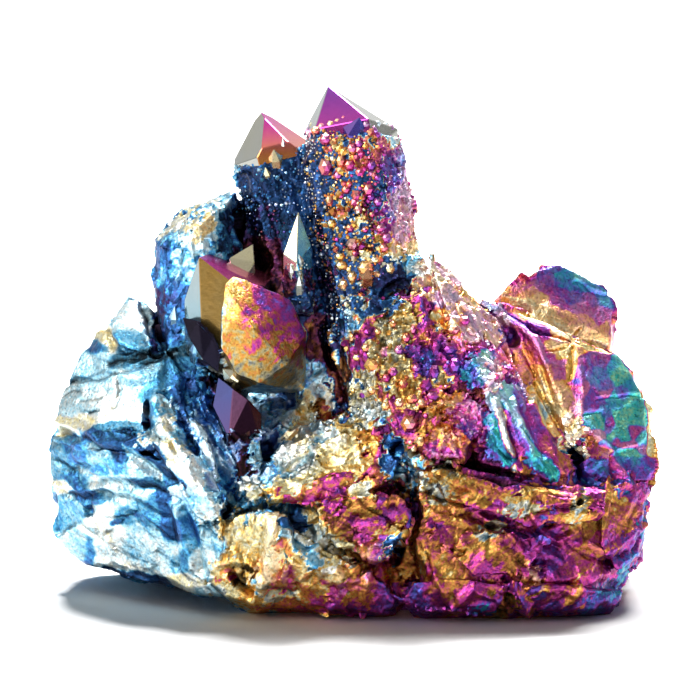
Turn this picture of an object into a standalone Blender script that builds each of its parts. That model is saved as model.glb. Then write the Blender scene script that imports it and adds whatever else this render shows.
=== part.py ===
"""An aura quartz cluster, 80 mm wide: quartz points grown together on their broken matrix, as one solid.

The cluster is modelled in millimetres and scaled to metres when each mesh is made. +X is right, -Y is the
front, +Z is up, and the origin is on the flat resting face, under the middle of the cluster. Every point
and every lump of matrix is a closed convex form. They overlap as crystals grown together do, one Boolean
union makes them a single body, and a plane trims its underside flat.
"""

import math

import bmesh
import bpy
from mathutils import Matrix, Vector, noise

MM = 0.001
CLUSTER_WIDTH = 80.0
TRIM_MARGIN = 10.0

# Quartz: the six rhombohedral faces of a tip stand this far from the crystal's axis, as normals.
TIP_FACE_ANGLE = math.radians(51.8)
PRISM_SIDES = 6

# Rough rock: the largest distance that a subdivided corner of a lump is moved, and the size of the swells.
ROCK_SWELL = 0.9
SWELL_SIZE = 6.0
ROCK_CUTS = 2

# The quartz points whose hexagonal shape shows. Foot and tip in mm, flat-to-flat width, the turn of the
# faces about the axis in degrees, and how far each tip face, counted from the turn, is lifted off the tip.
POINTS = {
    "tower": ((7.0, -5.5, 22.0), (-2.3, 4.7, 63.7), 10.8, 90.0, (0.0, 0.9, 0.3, 0.0, 0.7, 0.4)),
    "twin": ((0.0, 0.0, 18.0), (-12.0, 9.0, 63.0), 9.4, 106.0, (0.0, 0.6, 0.0, 0.5, 0.0, 0.6)),
    "back_point": ((3.0, 9.0, 14.0), (3.5, 17.5, 46.0), 8.6, 80.0, (0.0, 0.8, 0.0, 0.6, 0.2, 0.9)),
    "back_short_point": ((-8.0, 10.0, 16.0), (-13.0, 19.0, 42.0), 7.4, 95.0, (0.2, 0.0, 0.8, 0.0, 0.5, 0.0)),
    "back_low_point": ((24.0, 10.0, 10.0), (29.0, 20.5, 30.0), 6.6, 70.0, (0.0, 0.7, 0.0, 0.9, 0.0, 0.4)),
    "back_left_point": ((-22.0, 8.0, 14.0), (-28.5, 18.5, 29.5), 6.8, 100.0, (0.0, 0.5, 0.9, 0.0, 0.3, 0.0)),
}

# Points whose own shape is cut short or overgrown, given by their corners in mm.
CUT_POINTS = {
    "tower_tip": [
        (-3.1, 5.5, 67.0), (-6.3, 5.5, 61.0), (-4.9, 0.3, 61.9), (2.2, -1.3, 63.5), (6.2, 3.8, 61.4),
        (4.0, 10.0, 60.5), (-3.5, 11.0, 60.5), (-5.6, 4.8, 58.0), (-4.2, -0.3, 58.5), (2.8, -1.8, 59.5),
        (6.0, 3.2, 58.0), (4.4, 9.2, 57.5), (-2.8, 10.2, 57.5),
    ],
    "tower_coat": [
        (-6.9, 4.5, 59.0), (-4.7, -1.0, 60.8), (3.0, -2.3, 62.0), (6.7, 3.3, 60.0), (4.3, 10.5, 58.0),
        (-3.5, 11.3, 58.0), (1.0, -6.0, 16.0), (4.4, -12.0, 16.0), (11.0, -12.0, 16.0), (13.4, -6.0, 16.0),
        (10.5, 0.4, 16.0), (4.4, 0.4, 16.0),
    ],
    "twin_coat": [
        (-15.4, 8.5, 55.0), (-13.2, 3.6, 54.8), (-7.6, 3.4, 56.5), (-5.4, 8.0, 56.0), (-7.6, 13.0, 54.0),
        (-13.0, 13.0, 53.0), (-7.5, -1.0, 18.0), (-5.0, -5.5, 18.0), (0.5, -6.0, 18.0), (3.0, -1.0, 18.0),
        (0.5, 5.0, 18.0), (-5.0, 5.0, 18.0),
    ],
    "left_block": [
        (-26.0, 2.0, 47.0), (-24.0, 3.0, 48.5), (-22.5, 4.0, 50.5), (-19.5, 6.0, 51.5), (-15.5, 7.0, 52.5),
        (-15.0, 4.0, 50.0), (-15.0, 0.0, 44.5), (-16.0, -3.0, 39.5), (-18.0, -6.0, 34.0), (-24.0, -5.0, 33.0),
        (-26.0, -1.0, 39.5), (-25.0, -1.0, 47.0), (-20.0, -2.0, 49.5), (-16.5, 1.0, 52.0), (-25.0, 10.0, 45.0),
        (-22.0, 12.0, 48.5), (-16.0, 13.0, 51.0), (-15.0, 12.0, 47.0), (-24.0, 9.0, 22.0), (-15.0, 8.0, 22.0),
        (-22.0, -4.0, 22.0), (-16.0, -4.0, 22.0),
    ],
    "front_prism": [
        (-20.0, -7.0, 46.0), (-18.0, 1.0, 45.5), (-10.5, 2.0, 42.0), (-11.5, -6.0, 42.0), (-15.5, -10.0, 43.0),
        (-22.0, -5.0, 40.0), (-22.0, -5.0, 33.0), (-19.5, -9.0, 32.0), (-18.0, -10.0, 31.0), (-14.0, -10.0, 30.0),
        (-10.0, -4.0, 30.0), (-20.0, 3.0, 34.0), (-11.5, 4.0, 34.0), (-21.0, 2.0, 42.0),
    ],
    "mottled_point": [
        (-16.5, -11.0, 43.0), (-15.5, -9.0, 43.8), (-13.5, -9.0, 43.2), (-8.0, -8.0, 40.5), (-6.0, -9.0, 36.0),
        (-8.5, -12.0, 32.5), (-12.0, -14.0, 30.5), (-15.0, -13.0, 31.5), (-17.0, -12.0, 35.0), (-17.0, -12.0, 39.0),
        (-12.5, -14.5, 37.5), (-15.0, -2.0, 42.0), (-7.0, -2.0, 37.0), (-6.0, -2.0, 27.0), (-16.0, -2.0, 27.0),
    ],
    "pale_point": [
        (-7.0, -3.0, 51.5), (-9.0, -4.5, 46.0), (-5.3, -3.5, 47.0), (-7.2, -6.0, 45.0), (-6.5, 5.0, 44.0),
        (-9.0, -3.5, 38.0), (-5.0, -3.5, 38.0), (-7.0, 5.0, 36.0),
    ],
    "blade": [
        (-16.2, -1.5, 45.0), (-13.0, 0.0, 46.7), (-12.8, -1.5, 44.5), (-15.0, -3.5, 41.0), (-13.0, 3.0, 44.5),
        (-16.0, 3.0, 40.0), (-12.5, 0.0, 38.0),
    ],
    "violet_point": [
        (-17.5, -9.5, 30.5), (-15.5, -11.5, 29.3), (-13.5, -12.5, 28.0), (-11.8, -12.0, 26.0), (-11.8, -14.0, 22.5),
        (-12.5, -14.5, 17.0), (-14.0, -14.0, 17.5), (-16.0, -14.0, 23.0), (-18.2, -11.5, 27.0), (-16.0, -2.0, 29.0),
        (-11.8, -2.0, 25.0), (-13.0, -4.0, 16.0),
    ],
    "dark_plate": [
        (-22.2, -7.0, 38.0), (-20.0, -9.5, 38.0), (-18.0, -11.0, 36.3), (-17.0, -11.5, 34.0), (-17.5, -11.5, 31.5),
        (-19.5, -10.5, 33.0), (-21.3, -8.5, 35.5), (-21.5, -2.0, 36.0), (-17.5, -3.0, 30.0),
    ],
    "leaning_point": [
        (10.0, -5.0, 46.7), (12.0, -8.5, 40.5), (15.8, -12.5, 33.0), (19.0, -16.5, 22.5), (12.3, -2.0, 43.8),
        (16.4, -2.0, 39.4), (21.9, -5.0, 34.0), (25.5, -9.5, 27.0), (28.5, -13.0, 20.5), (29.5, -12.5, 17.0),
        (26.0, -17.5, 19.0), (29.0, -14.5, 16.0), (17.0, -15.5, 20.0), (22.5, -16.5, 15.5), (12.0, 8.0, 37.7),
        (18.2, 8.0, 33.7), (28.0, 6.0, 18.0), (17.0, 4.0, 15.0),
    ],
}

# The broken matrix under and between the points, as lumps given by their corners in mm.
MATRIX = {
    "core": [
        (-13.0, -9.0, -2.0), (-20.0, 1.0, -2.0), (-25.0, 12.0, -2.0), (-8.0, 17.0, -2.0), (20.0, 18.0, -2.0),
        (33.0, 10.0, -2.0), (34.0, -8.0, -2.0), (28.0, -14.0, -2.0), (-4.0, -13.0, -2.0), (-24.0, -6.0, 8.0),
        (-16.0, -6.0, 24.0), (-14.0, 10.0, 27.0), (6.0, 12.0, 30.0), (22.0, 8.0, 26.0), (24.0, -6.0, 20.0),
        (-2.0, -9.0, 22.0),
    ],
    "fan_upper": [
        (-39.0, -1.0, 25.0), (-37.0, -1.0, 30.0), (-34.0, 0.0, 35.0), (-31.0, -2.0, 36.5), (-25.5, -5.0, 34.0),
        (-22.5, -7.5, 31.0), (-22.0, -10.0, 27.0), (-25.0, -13.0, 21.5), (-31.0, -11.0, 20.5), (-40.0, -1.5, 20.5),
        (-37.5, 8.0, 20.0), (-33.5, 9.0, 31.5), (-25.5, 8.0, 31.0), (-20.0, 6.0, 27.5), (-20.0, 6.0, 16.0),
    ],
    "fan_crest": [
        (-32.0, -1.0, 36.0), (-31.0, 0.0, 37.5), (-29.5, 1.0, 39.0), (-27.5, 1.0, 38.5), (-26.0, 0.0, 37.0),
        (-25.5, -3.5, 33.5), (-27.0, -6.0, 33.0), (-30.5, -4.5, 34.0), (-31.0, 7.0, 35.5), (-27.5, 8.0, 36.5),
        (-26.0, 7.0, 30.0), (-30.0, 5.0, 30.0),
    ],
    "fan_lower": [
        (-40.0, -1.0, 21.0), (-39.5, -1.0, 18.5), (-40.0, -1.0, 14.0), (-39.5, 0.0, 9.5), (-38.0, 0.0, 6.0),
        (-35.5, 0.0, 3.4), (-33.5, -3.0, 3.4), (-25.5, -9.0, 3.4), (-19.5, -15.0, 2.8), (-15.5, -18.0, 2.6),
        (-14.0, -19.0, 7.5), (-15.5, -18.0, 12.5), (-18.0, -17.0, 15.0), (-25.0, -13.5, 20.0), (-31.0, -10.5, 21.5),
        (-39.0, -0.5, 22.5), (-38.0, 9.0, 20.5), (-38.0, 10.0, 9.0), (-34.5, 10.0, 2.0), (-18.0, 8.0, -2.0),
        (-14.0, 4.0, 16.0),
    ],
    "cream_ridge": [
        (-27.0, -11.5, 23.5), (-26.0, -10.5, 27.5), (-23.5, -9.5, 28.2), (-21.5, -10.5, 26.5), (-20.0, -14.0, 22.5),
        (-17.0, -16.0, 19.0), (-16.0, -18.0, 15.0), (-17.0, -19.0, 10.0), (-19.5, -18.0, 12.0), (-24.0, -15.5, 20.0),
        (-22.0, 2.0, 24.0), (-16.0, 2.0, 12.0),
    ],
    "blue_hollow": [
        (-23.0, -5.5, 29.0), (-19.5, -6.0, 30.5), (-15.0, -8.0, 27.0), (-11.5, -10.0, 23.0), (-11.0, -13.0, 16.5),
        (-15.0, -14.0, 13.0), (-19.0, -13.0, 17.0), (-21.5, -9.5, 23.0), (-21.5, 5.0, 27.0), (-11.0, 3.0, 20.0),
    ],
    "gold_ridge": [
        (-12.0, -14.0, 17.5), (-9.5, -13.0, 21.0), (-4.0, -11.5, 24.0), (0.0, -11.0, 26.0), (5.0, -12.0, 25.0),
        (6.5, -14.5, 22.5), (6.0, -16.5, 19.0), (2.5, -17.5, 17.0), (-3.0, -17.5, 15.5), (-9.0, -17.0, 14.5),
        (-7.0, 0.0, 21.5), (5.0, 2.0, 20.0), (6.0, 0.0, 10.0), (-10.0, -4.0, 10.0),
    ],
    "grey_hollow": [
        (-11.0, -15.0, 15.0), (-1.0, -15.0, 15.5), (0.0, -17.0, 5.0), (-8.0, -18.0, 5.0), (-12.0, -17.0, 10.0),
        (-10.0, 0.0, 12.0), (0.0, 0.0, 12.0), (-10.0, 0.0, 2.0), (2.0, 0.0, 2.0),
    ],
    "gold_foot": [
        (-18.5, -17.0, 5.0), (-17.5, -17.5, 10.5), (-15.0, -17.5, 13.5), (-12.0, -18.5, 14.5), (-10.5, -20.0, 12.0),
        (-8.0, -21.0, 8.0), (-3.0, -21.0, 5.5), (4.0, -21.0, 5.5), (7.0, -20.5, 3.0), (4.0, -19.8, 1.4),
        (-3.0, -20.0, 1.8), (-11.0, -19.5, 2.2), (-16.5, -18.0, 2.8), (-14.0, -11.0, -1.0), (5.0, -15.0, -1.0),
        (-14.0, -2.0, -1.0), (5.0, 0.0, -1.0),
    ],
    "magenta_lobe": [
        (-4.5, -18.0, 14.5), (-1.5, -18.0, 16.8), (3.0, -19.0, 16.8), (6.5, -20.0, 16.0), (8.0, -20.5, 13.5),
        (7.0, -21.0, 10.5), (3.5, -21.0, 8.5), (-1.0, -20.0, 9.5), (-4.0, -18.5, 12.0), (-3.0, -4.0, 14.0),
        (7.0, -2.0, 12.0), (4.0, -4.0, 5.0),
    ],
    "right_mass": [
        (9.0, -15.0, 18.8), (17.0, -16.0, 17.5), (28.0, -15.5, 16.0), (34.5, -12.0, 16.5), (39.5, -6.0, 18.0),
        (38.0, -8.0, 11.0), (36.9, -9.0, 5.5), (35.8, -11.0, 3.0), (35.0, -11.0, -1.0), (32.0, -14.5, -1.0),
        (20.0, -16.0, -1.0), (10.5, -16.0, -1.0), (20.0, -20.8, 5.0), (10.5, -21.0, 6.0), (31.0, -19.0, 6.0),
        (8.5, -20.0, 11.0), (38.5, 10.0, 14.0), (36.0, 13.0, -2.0), (8.0, 8.0, -2.0), (12.0, 8.0, 18.0),
    ],
    "right_lip": [
        (10.5, -17.5, 20.0), (20.0, -19.5, 18.0), (28.0, -19.5, 16.2), (33.0, -16.5, 16.4), (32.0, -19.0, 13.4),
        (22.5, -20.5, 13.0), (12.0, -19.0, 15.8), (20.0, -5.0, 16.0), (30.0, -5.0, 15.0),
    ],
    "right_knob": [
        (14.0, -20.5, 12.0), (20.0, -21.0, 12.6), (25.5, -21.2, 10.8), (23.0, -22.0, 6.5), (16.0, -22.0, 6.5),
        (13.0, -21.0, 9.0), (18.0, -8.0, 9.0),
    ],
    "right_toe": [
        (6.5, -20.5, 3.0), (8.0, -21.3, 5.5), (14.0, -22.0, 6.0), (22.0, -22.2, 5.0), (30.5, -20.8, 4.4),
        (35.6, -15.0, 3.0), (34.5, -16.5, 1.4), (30.0, -20.0, 1.6), (20.0, -21.4, 1.7), (10.0, -20.8, 1.7),
        (33.0, -14.5, -1.0), (20.0, -16.5, -1.0), (9.0, -16.5, -1.0), (12.0, -5.0, -1.0), (30.0, -5.0, -1.0),
    ],
    "right_corner": [
        (33.0, -14.5, 15.5), (39.8, -7.0, 18.0), (38.6, -8.5, 11.0), (37.2, -10.5, 5.5), (35.2, -15.0, 5.0),
        (32.5, -17.5, 9.5), (39.0, 4.0, 16.0), (38.0, 2.0, 4.0),
    ],
    "back_boulder": [
        (-20.0, 14.0, 1.0), (-6.0, 20.0, 2.0), (2.0, 22.0, 8.0), (-4.0, 21.5, 18.0), (-16.0, 18.5, 20.0),
        (-24.0, 16.0, 13.0), (-12.0, 10.0, 25.0), (-12.0, 10.0, 3.0),
    ],
    "back_slab": [
        (7.0, 20.0, 1.0), (22.0, 20.5, 0.5), (31.5, 17.5, 6.0), (28.0, 19.0, 18.0), (16.0, 22.0, 20.0),
        (4.0, 21.5, 15.0), (14.0, 12.0, 25.0), (16.0, 10.0, 3.0),
    ],
    "back_knoll": [
        (-6.0, 12.0, 31.0), (4.0, 12.0, 36.0), (11.0, 13.0, 35.0), (19.0, 11.0, 32.5), (11.0, 18.0, 29.0),
        (-4.0, 17.5, 27.0), (4.0, 4.0, 35.0), (6.0, 8.0, 22.0),
    ],
    "tower_foot": [
        (-2.5, -6.0, 35.0), (0.0, -9.0, 41.0), (6.5, -9.5, 41.0), (12.0, -6.0, 41.5), (16.5, -9.5, 34.0),
        (17.5, -15.0, 25.5), (13.0, -18.0, 20.5), (8.0, -18.0, 20.5), (4.5, -15.5, 22.5), (0.0, -11.5, 26.0),
        (0.0, 6.0, 36.0), (12.0, 8.0, 37.0), (17.0, 6.0, 18.0), (4.0, 4.0, 16.0),
    ],
    "cleft_wall": [
        (-17.0, 4.5, 38.0), (-12.0, 4.5, 38.0), (-16.3, 6.0, 51.0), (-13.0, 6.0, 52.0), (-17.0, 11.5, 38.0),
        (-12.0, 11.5, 38.0), (-16.0, 11.5, 50.0), (-13.0, 11.5, 51.0),
    ],
    "tower_flank": [
        (6.0, -4.0, 46.0), (9.2, -3.5, 45.0), (11.8, -4.0, 40.5), (6.0, -7.0, 37.0), (12.5, -6.0, 37.0),
        (6.0, 5.5, 45.0), (9.2, 5.5, 43.0), (12.0, 6.0, 37.0),
    ],
    "back_lobe": [
        (18.5, 2.0, 38.8), (20.0, 2.0, 40.0), (22.5, 3.0, 41.0), (25.0, 4.0, 42.5), (27.5, 5.0, 43.0),
        (30.0, 5.0, 42.0), (32.0, 5.0, 40.2), (34.0, 6.0, 39.3), (35.0, 6.0, 37.0), (34.5, 4.0, 31.0),
        (30.0, 1.0, 32.0), (24.0, 0.0, 35.0), (20.0, 9.0, 37.5), (27.0, 12.0, 40.0), (34.0, 12.0, 36.0),
        (34.5, 12.0, 28.0), (20.0, 10.0, 26.0),
    ],
    "right_plate": [
        (17.0, -1.0, 39.5), (19.0, -2.0, 39.0), (24.0, -4.5, 37.0), (30.0, -5.5, 34.5), (35.5, -3.5, 32.5),
        (37.5, -4.5, 28.5), (39.0, -4.5, 25.0), (40.0, -5.5, 21.0), (40.0, -7.0, 17.5), (36.0, -11.5, 14.0),
        (31.5, -12.5, 15.0), (30.5, -12.0, 20.0), (28.0, -10.0, 24.0), (25.0, -7.5, 28.5), (22.0, -4.5, 33.0),
        (20.0, 8.0, 34.0), (35.0, 13.0, 27.5), (39.0, 12.0, 18.0), (38.5, 10.0, 10.0), (22.0, 6.0, 16.0),
    ],
    "back_mass": [
        (-32.0, 6.0, 3.0), (-28.0, 15.0, 1.0), (-12.0, 20.0, -2.0), (8.0, 21.0, -2.0), (25.0, 19.0, -2.0),
        (35.0, 13.0, 0.0), (-33.0, 8.0, 18.0), (-24.0, 15.5, 21.0), (-9.0, 18.5, 25.0), (8.0, 19.5, 26.0),
        (24.0, 17.5, 24.0), (33.0, 13.5, 20.0), (-22.0, 6.0, 29.0), (0.0, 11.0, 33.0), (22.0, 9.0, 33.0),
    ],
}
UNROUGHENED = {"core", "grey_hollow"}


def clear_scene():
    """The scene starts empty."""
    for obj in list(bpy.data.objects):
        bpy.data.objects.remove(obj)


def object_from(name, form):
    """A scene object whose mesh is the bmesh form, taken from millimetres to metres."""
    bmesh.ops.recalc_face_normals(form, faces=form.faces)
    bmesh.ops.scale(form, vec=(MM, MM, MM), verts=form.verts)
    mesh = bpy.data.meshes.new(name)
    form.to_mesh(mesh)
    form.free()
    obj = bpy.data.objects.new(name, mesh)
    bpy.context.scene.collection.objects.link(obj)
    return obj


def keep_below(form, place, normal):
    """The part of a closed form that lies behind a plane, with the cut closed by a flat face."""
    everything = form.verts[:] + form.edges[:] + form.faces[:]
    cut = bmesh.ops.bisect_plane(form, geom=everything, plane_co=place, plane_no=normal, clear_outer=True)
    rim = [item for item in cut["geom_cut"] if isinstance(item, bmesh.types.BMEdge)]
    if rim:
        bmesh.ops.contextual_create(form, geom=rim)


def quartz_point(name, foot, tip, width, turn, lifts):
    """A hexagonal prism from foot to tip under six tip faces, some lifted so that they are smaller."""
    foot, tip = Vector(foot), Vector(tip)
    axis = tip - foot
    length = axis.length
    form = bmesh.new()
    bmesh.ops.create_cube(form, size=2.0 * length)
    bmesh.ops.translate(form, verts=form.verts, vec=(0.0, 0.0, length))
    for side in range(PRISM_SIDES):
        angle = math.radians(turn) + side * math.tau / PRISM_SIDES
        outward = Vector((math.cos(angle), math.sin(angle), 0.0))
        keep_below(form, outward * width / 2.0, outward)
    for side, lift in enumerate(lifts):
        angle = math.radians(turn) + side * math.tau / PRISM_SIDES
        level = math.sin(TIP_FACE_ANGLE)
        outward = Vector((level * math.cos(angle), level * math.sin(angle), math.cos(TIP_FACE_ANGLE)))
        keep_below(form, Vector((0.0, 0.0, length)) + outward * lift, outward)
    upright = axis.to_track_quat("Z", "Y").to_matrix().to_4x4()
    bmesh.ops.transform(form, matrix=Matrix.Translation(foot) @ upright, verts=form.verts)
    return object_from(name, form)


def convex_form(corners):
    """The convex hull of some corners, as a bmesh with no loose corner left over."""
    form = bmesh.new()
    for corner in corners:
        form.verts.new(corner)
    hull = bmesh.ops.convex_hull(form, input=form.verts)
    spare = set(hull["geom_interior"]) | set(hull["geom_unused"])
    bmesh.ops.delete(form, geom=[item for item in spare if item.is_valid], context="VERTS")
    return form


def roughened(form):
    """A lump's faces divided, and the new corners moved in and out along swells of broken rock."""
    bmesh.ops.subdivide_edges(form, edges=form.edges, cuts=ROCK_CUTS, use_grid_fill=True)
    form.normal_update()
    for vert in form.verts:
        swell = noise.noise(vert.co / SWELL_SIZE) + 0.5 * noise.noise(2.0 * vert.co / SWELL_SIZE)
        vert.co += vert.normal * ROCK_SWELL * swell
    bmesh.ops.triangulate(form, faces=form.faces)


def lump(name, corners):
    """A lump of matrix."""
    form = convex_form(corners)
    if name not in UNROUGHENED:
        roughened(form)
    return object_from(name, form)


def cut_point(name, corners):
    """A quartz point that is given by its corners, with flat faces."""
    return object_from(name, convex_form(corners))


def trimming_block():
    """A block that takes everything under the resting plane off the cluster."""
    form = bmesh.new()
    bmesh.ops.create_cube(form, size=1.0)
    side = CLUSTER_WIDTH + 2.0 * TRIM_MARGIN
    bmesh.ops.scale(form, vec=(side, side, TRIM_MARGIN), verts=form.verts)
    bmesh.ops.translate(form, verts=form.verts, vec=(0.0, 0.0, -TRIM_MARGIN / 2.0))
    return object_from("underside_trim", form)


def make_helper(obj):
    """Marks an operand of a Boolean, which isn't part of the cluster itself."""
    obj.hide_render = True
    obj.display_type = "WIRE"


def coated_quartz():
    """Quartz under a titanium film: metallic, fairly glossy, between violet and gold."""
    material = bpy.data.materials.new("titanium-coated quartz")
    material.use_nodes = True
    shader = material.node_tree.nodes["Principled BSDF"]
    shader.inputs["Base Color"].default_value = (0.42, 0.22, 0.40, 1.0)
    shader.inputs["Metallic"].default_value = 0.9
    shader.inputs["Roughness"].default_value = 0.3
    return material


def grown_together(name, pieces):
    """One object: the first piece, joined with all the others and trimmed flat underneath."""
    cluster = pieces[0]
    cluster.name = name
    others = bpy.data.collections.new("grown together")
    bpy.context.scene.collection.children.link(others)
    for piece in pieces[1:]:
        bpy.context.scene.collection.objects.unlink(piece)
        others.objects.link(piece)
        make_helper(piece)
    union = cluster.modifiers.new("grown together", "BOOLEAN")
    union.operation = "UNION"
    union.operand_type = "COLLECTION"
    union.collection = others
    union.solver = "EXACT"
    block = trimming_block()
    make_helper(block)
    trim = cluster.modifiers.new("flat underside", "BOOLEAN")
    trim.operation = "DIFFERENCE"
    trim.object = block
    trim.solver = "EXACT"
    cluster.data.materials.append(coated_quartz())
    return cluster


def main():
    clear_scene()
    pieces = [lump(name, corners) for name, corners in MATRIX.items()]
    pieces += [cut_point(name, corners) for name, corners in CUT_POINTS.items()]
    pieces += [quartz_point(name, *sizes) for name, sizes in POINTS.items()]
    grown_together("aura_quartz_cluster", pieces)


main()
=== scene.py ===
"""The finished look of an aura quartz cluster: broken quartz and its points under a titanium film.

Sizes are in millimetres until a mesh is written, in metres. Places on the cluster's front are given as
(across, up): across is x, and up is the height on a plane that leans back by FRONT_TILT.
"""

import itertools
import math

import bmesh
import bpy
import numpy as np
from mathutils import Matrix, Vector
from mathutils.bvhtree import BVHTree


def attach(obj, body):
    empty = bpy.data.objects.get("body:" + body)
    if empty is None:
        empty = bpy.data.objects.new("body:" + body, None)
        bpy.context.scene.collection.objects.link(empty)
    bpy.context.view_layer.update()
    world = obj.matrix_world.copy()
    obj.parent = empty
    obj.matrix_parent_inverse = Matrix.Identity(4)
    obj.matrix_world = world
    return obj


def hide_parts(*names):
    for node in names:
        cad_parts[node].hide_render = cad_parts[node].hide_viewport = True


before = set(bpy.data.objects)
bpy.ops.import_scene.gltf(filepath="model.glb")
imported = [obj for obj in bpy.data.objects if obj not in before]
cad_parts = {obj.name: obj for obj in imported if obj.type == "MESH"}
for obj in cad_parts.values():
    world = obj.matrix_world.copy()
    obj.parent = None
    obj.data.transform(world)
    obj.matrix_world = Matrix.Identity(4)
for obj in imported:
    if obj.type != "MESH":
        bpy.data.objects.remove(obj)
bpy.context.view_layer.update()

CLUSTER = "aura_quartz_cluster"
MM = 0.001
FRONT_TILT = math.radians(10.0)
UP_FRONT = np.array([0.0, math.sin(FRONT_TILT), math.cos(FRONT_TILT)])
TO_FRONT = np.array([0.0, -math.cos(FRONT_TILT), math.sin(FRONT_TILT)])

# ------ the film
# A titanium film's colour follows its thickness. Thickness runs from 0, bare, to 1.
FILM_COLOURS = [
    (0.00, "E9E4D4"), (0.06, "ECD694"), (0.12, "D29A3A"), (0.17, "BC693C"), (0.22, "8A2C68"),
    (0.27, "582478"), (0.32, "2C3C8E"), (0.37, "0C4484"), (0.42, "136EBC"), (0.47, "48ACDA"),
    (0.52, "ABD8E7"), (0.57, "E4E8E3"), (0.62, "EEE2A8"), (0.665, "E7AF3E"), (0.71, "DA7C3A"),
    (0.765, "C0208A"), (0.815, "861C96"), (0.865, "4A46BA"), (0.915, "168ABC"), (0.965, "10B2A4"),
    (1.00, "7CC28B"),
]

# The tables below give in hundredths a film's thickness, how much that varies, and how pale (above 0) or dark
# (below 0) it looks. That paleness and darkness is partly the film's own and partly painted light: painted
# highlights and reflections where it is pale, painted shade where it is dark.
HUNDREDTHS = 100.0

# The film over the cluster's front, region by region. Each zone is an ellipse: across, up, half length, half
# width, the film's thickness, variation and paleness, and its turn in degrees where it has one.
FILM_ZONES = {}
FILM_ZONES["left fan"] = [
    (-32.5, 33.3, 1.2, 1.3, 63, 1, -19, 40), (-29.2, 36.2, 2.1, 2.1, 54.8, 3, -4),
    (-29.8, 33.5, 1.6, 1.1, 48.8, 2, -24), (-26.9, 36.6, 0.8, 1.9, 51.8, 2, -69, 60),
    (-34.7, 29.5, 2.4, 2.4, 53.8, 2, -9, 30), (-33.6, 32.2, 1.3, 0.8, 45, 3, -44),
    (-28.2, 30.6, 4, 0.7, 49, 3, -79, 6), (-24.2, 28.6, 2.1, 1.3, 46, 2, -34, 35),
    (-26.9, 29, 2.1, 1.3, 51.8, 2, -14), (-30.3, 27.2, 3.2, 1.6, 53.8, 2, -14),
    (-37.3, 26.3, 1.9, 1.3, 56.8, 2, -34, 20), (-35.2, 28.2, 2.9, 0.4, 50.8, 3, -89, 14),
    (-33.6, 24.6, 2.9, 1.6, 56.8, 2, -14, 10), (-26.2, 25.5, 1.6, 2.4, 49, 2, -19),
    (-28.9, 23.9, 2.1, 1.6, 54.8, 2, -4), (-35.6, 22.6, 2.7, 0.8, 63, 2, -14, 20),
    (-34.3, 23.9, 1.2, 0.3, 48.8, 2, -94, 10), (-29.6, 22, 3.2, 0.4, 48, 2, -64),
]
# The darkest zones here are painted shade, in the creases between its ridges and along its bottom edge.
FILM_ZONES["left fan, lower"] = [
    (-35.6, 18.3, 2.1, 1.3, 49, 6, -22, -10), (-38.4, 17, 1.3, 1.9, 52, 4, -42),
    (-32, 19.1, 3.2, 0.7, 43.5, 3, -50, -35), (-32.9, 17, 2.9, 1.1, 50, 6, -2, -10),
    (-26.9, 18.8, 3.5, 0.7, 43.5, 3, -55, -38), (-23.2, 15.1, 2.4, 0.7, 43.5, 3, -50, -45),
    (-28.2, 17, 2.1, 1.1, 55, 4, -12, -20), (-32.3, 14.6, 4, 0.9, 57, 4, -2, -5),
    (-38.7, 13.6, 1.3, 0.7, 62, 2, 8), (-36.3, 14.8, 1.9, 0.8, 47, 5, -42, -10),
    (-27.6, 14.3, 2.9, 0.5, 47, 3, -62, -8), (-34.3, 12.3, 2.7, 0.5, 44, 3, -45, -5),
    (-30.3, 12.4, 2.4, 0.8, 55, 4, -12, -5), (-38.9, 9.9, 1.6, 1.9, 52, 5, -22),
    (-32, 10.8, 1.6, 1.2, 58, 3, 18), (-28.2, 10.3, 2.4, 1.3, 50, 5, -32),
    (-30.9, 9.2, 1.1, 0.4, 43.5, 2, -40, 20), (-36.9, 5.9, 2.1, 1.6, 56, 4, -12, -30),
    (-32.3, 5.9, 2.4, 2.4, 60, 3, 3), (-34.9, 4.5, 0.8, 2.4, 47, 4, -22), (-28.2, 5.9, 1.9, 2.4, 55, 5, -12),
    (-24, 9.2, 0.9, 2.9, 43.5, 3, -35, 8), (-22.6, 11.2, 1.6, 1.3, 54, 3, 8),
    (-21.8, 9.2, 0.8, 3.5, 46, 3, -12, 15), (-24.9, 4.9, 1.9, 1.9, 56, 4, 18),
    (-22.9, 3.9, 1.3, 1.3, 49, 3, -22), (-19.6, 3.9, 1.1, 1.9, 55, 3, 8, 15),
    (-21.6, 1.5, 2.4, 0.8, 62, 2, -12, -8), (-18.6, 0.5, 1.9, 0.5, 55, 3, -42, -8),
    (-32.5, 2.4, 2.9, 0.5, 43.5, 3, -60, -4), (-35.6, 2.9, 1.3, 0.8, 50, 5, -72, -30),
    (-26.2, 1.7, 2.7, 0.7, 43.5, 3, -50, -22), (-29.6, 3.5, 2.4, 0.8, 60, 3, -12),
]
FILM_ZONES["cream ridge"] = [
    (-25.8, 25, 0.7, 1.1, 62, 2, 28, 30), (-24.8, 25.2, 1.1, 1.1, 52, 3, -2, -40),
    (-24.5, 20.6, 1.1, 1.9, 57, 5, -12, 25), (-26.9, 23.6, 0.5, 1.7, 24, 2, -82),
    (-23.2, 18.6, 1.2, 1.3, 62, 3, 3, 30), (-21.3, 17, 1.6, 1.9, 56, 5, 38, 20),
    (-21.6, 19.9, 0.8, 1.9, 50, 5, -12, 30), (-22.2, 13.2, 1.6, 1.6, 55, 3, 48),
    (-20.2, 11.9, 1.6, 1.3, 53, 5, 18), (-18.6, 10.6, 1.1, 1.1, 58, 4, -2),
    (-26.6, 19.9, 1.9, 0.5, 62, 2, 28, -10), (-28.2, 21, 1.3, 0.4, 47, 2, -22),
]
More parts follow.
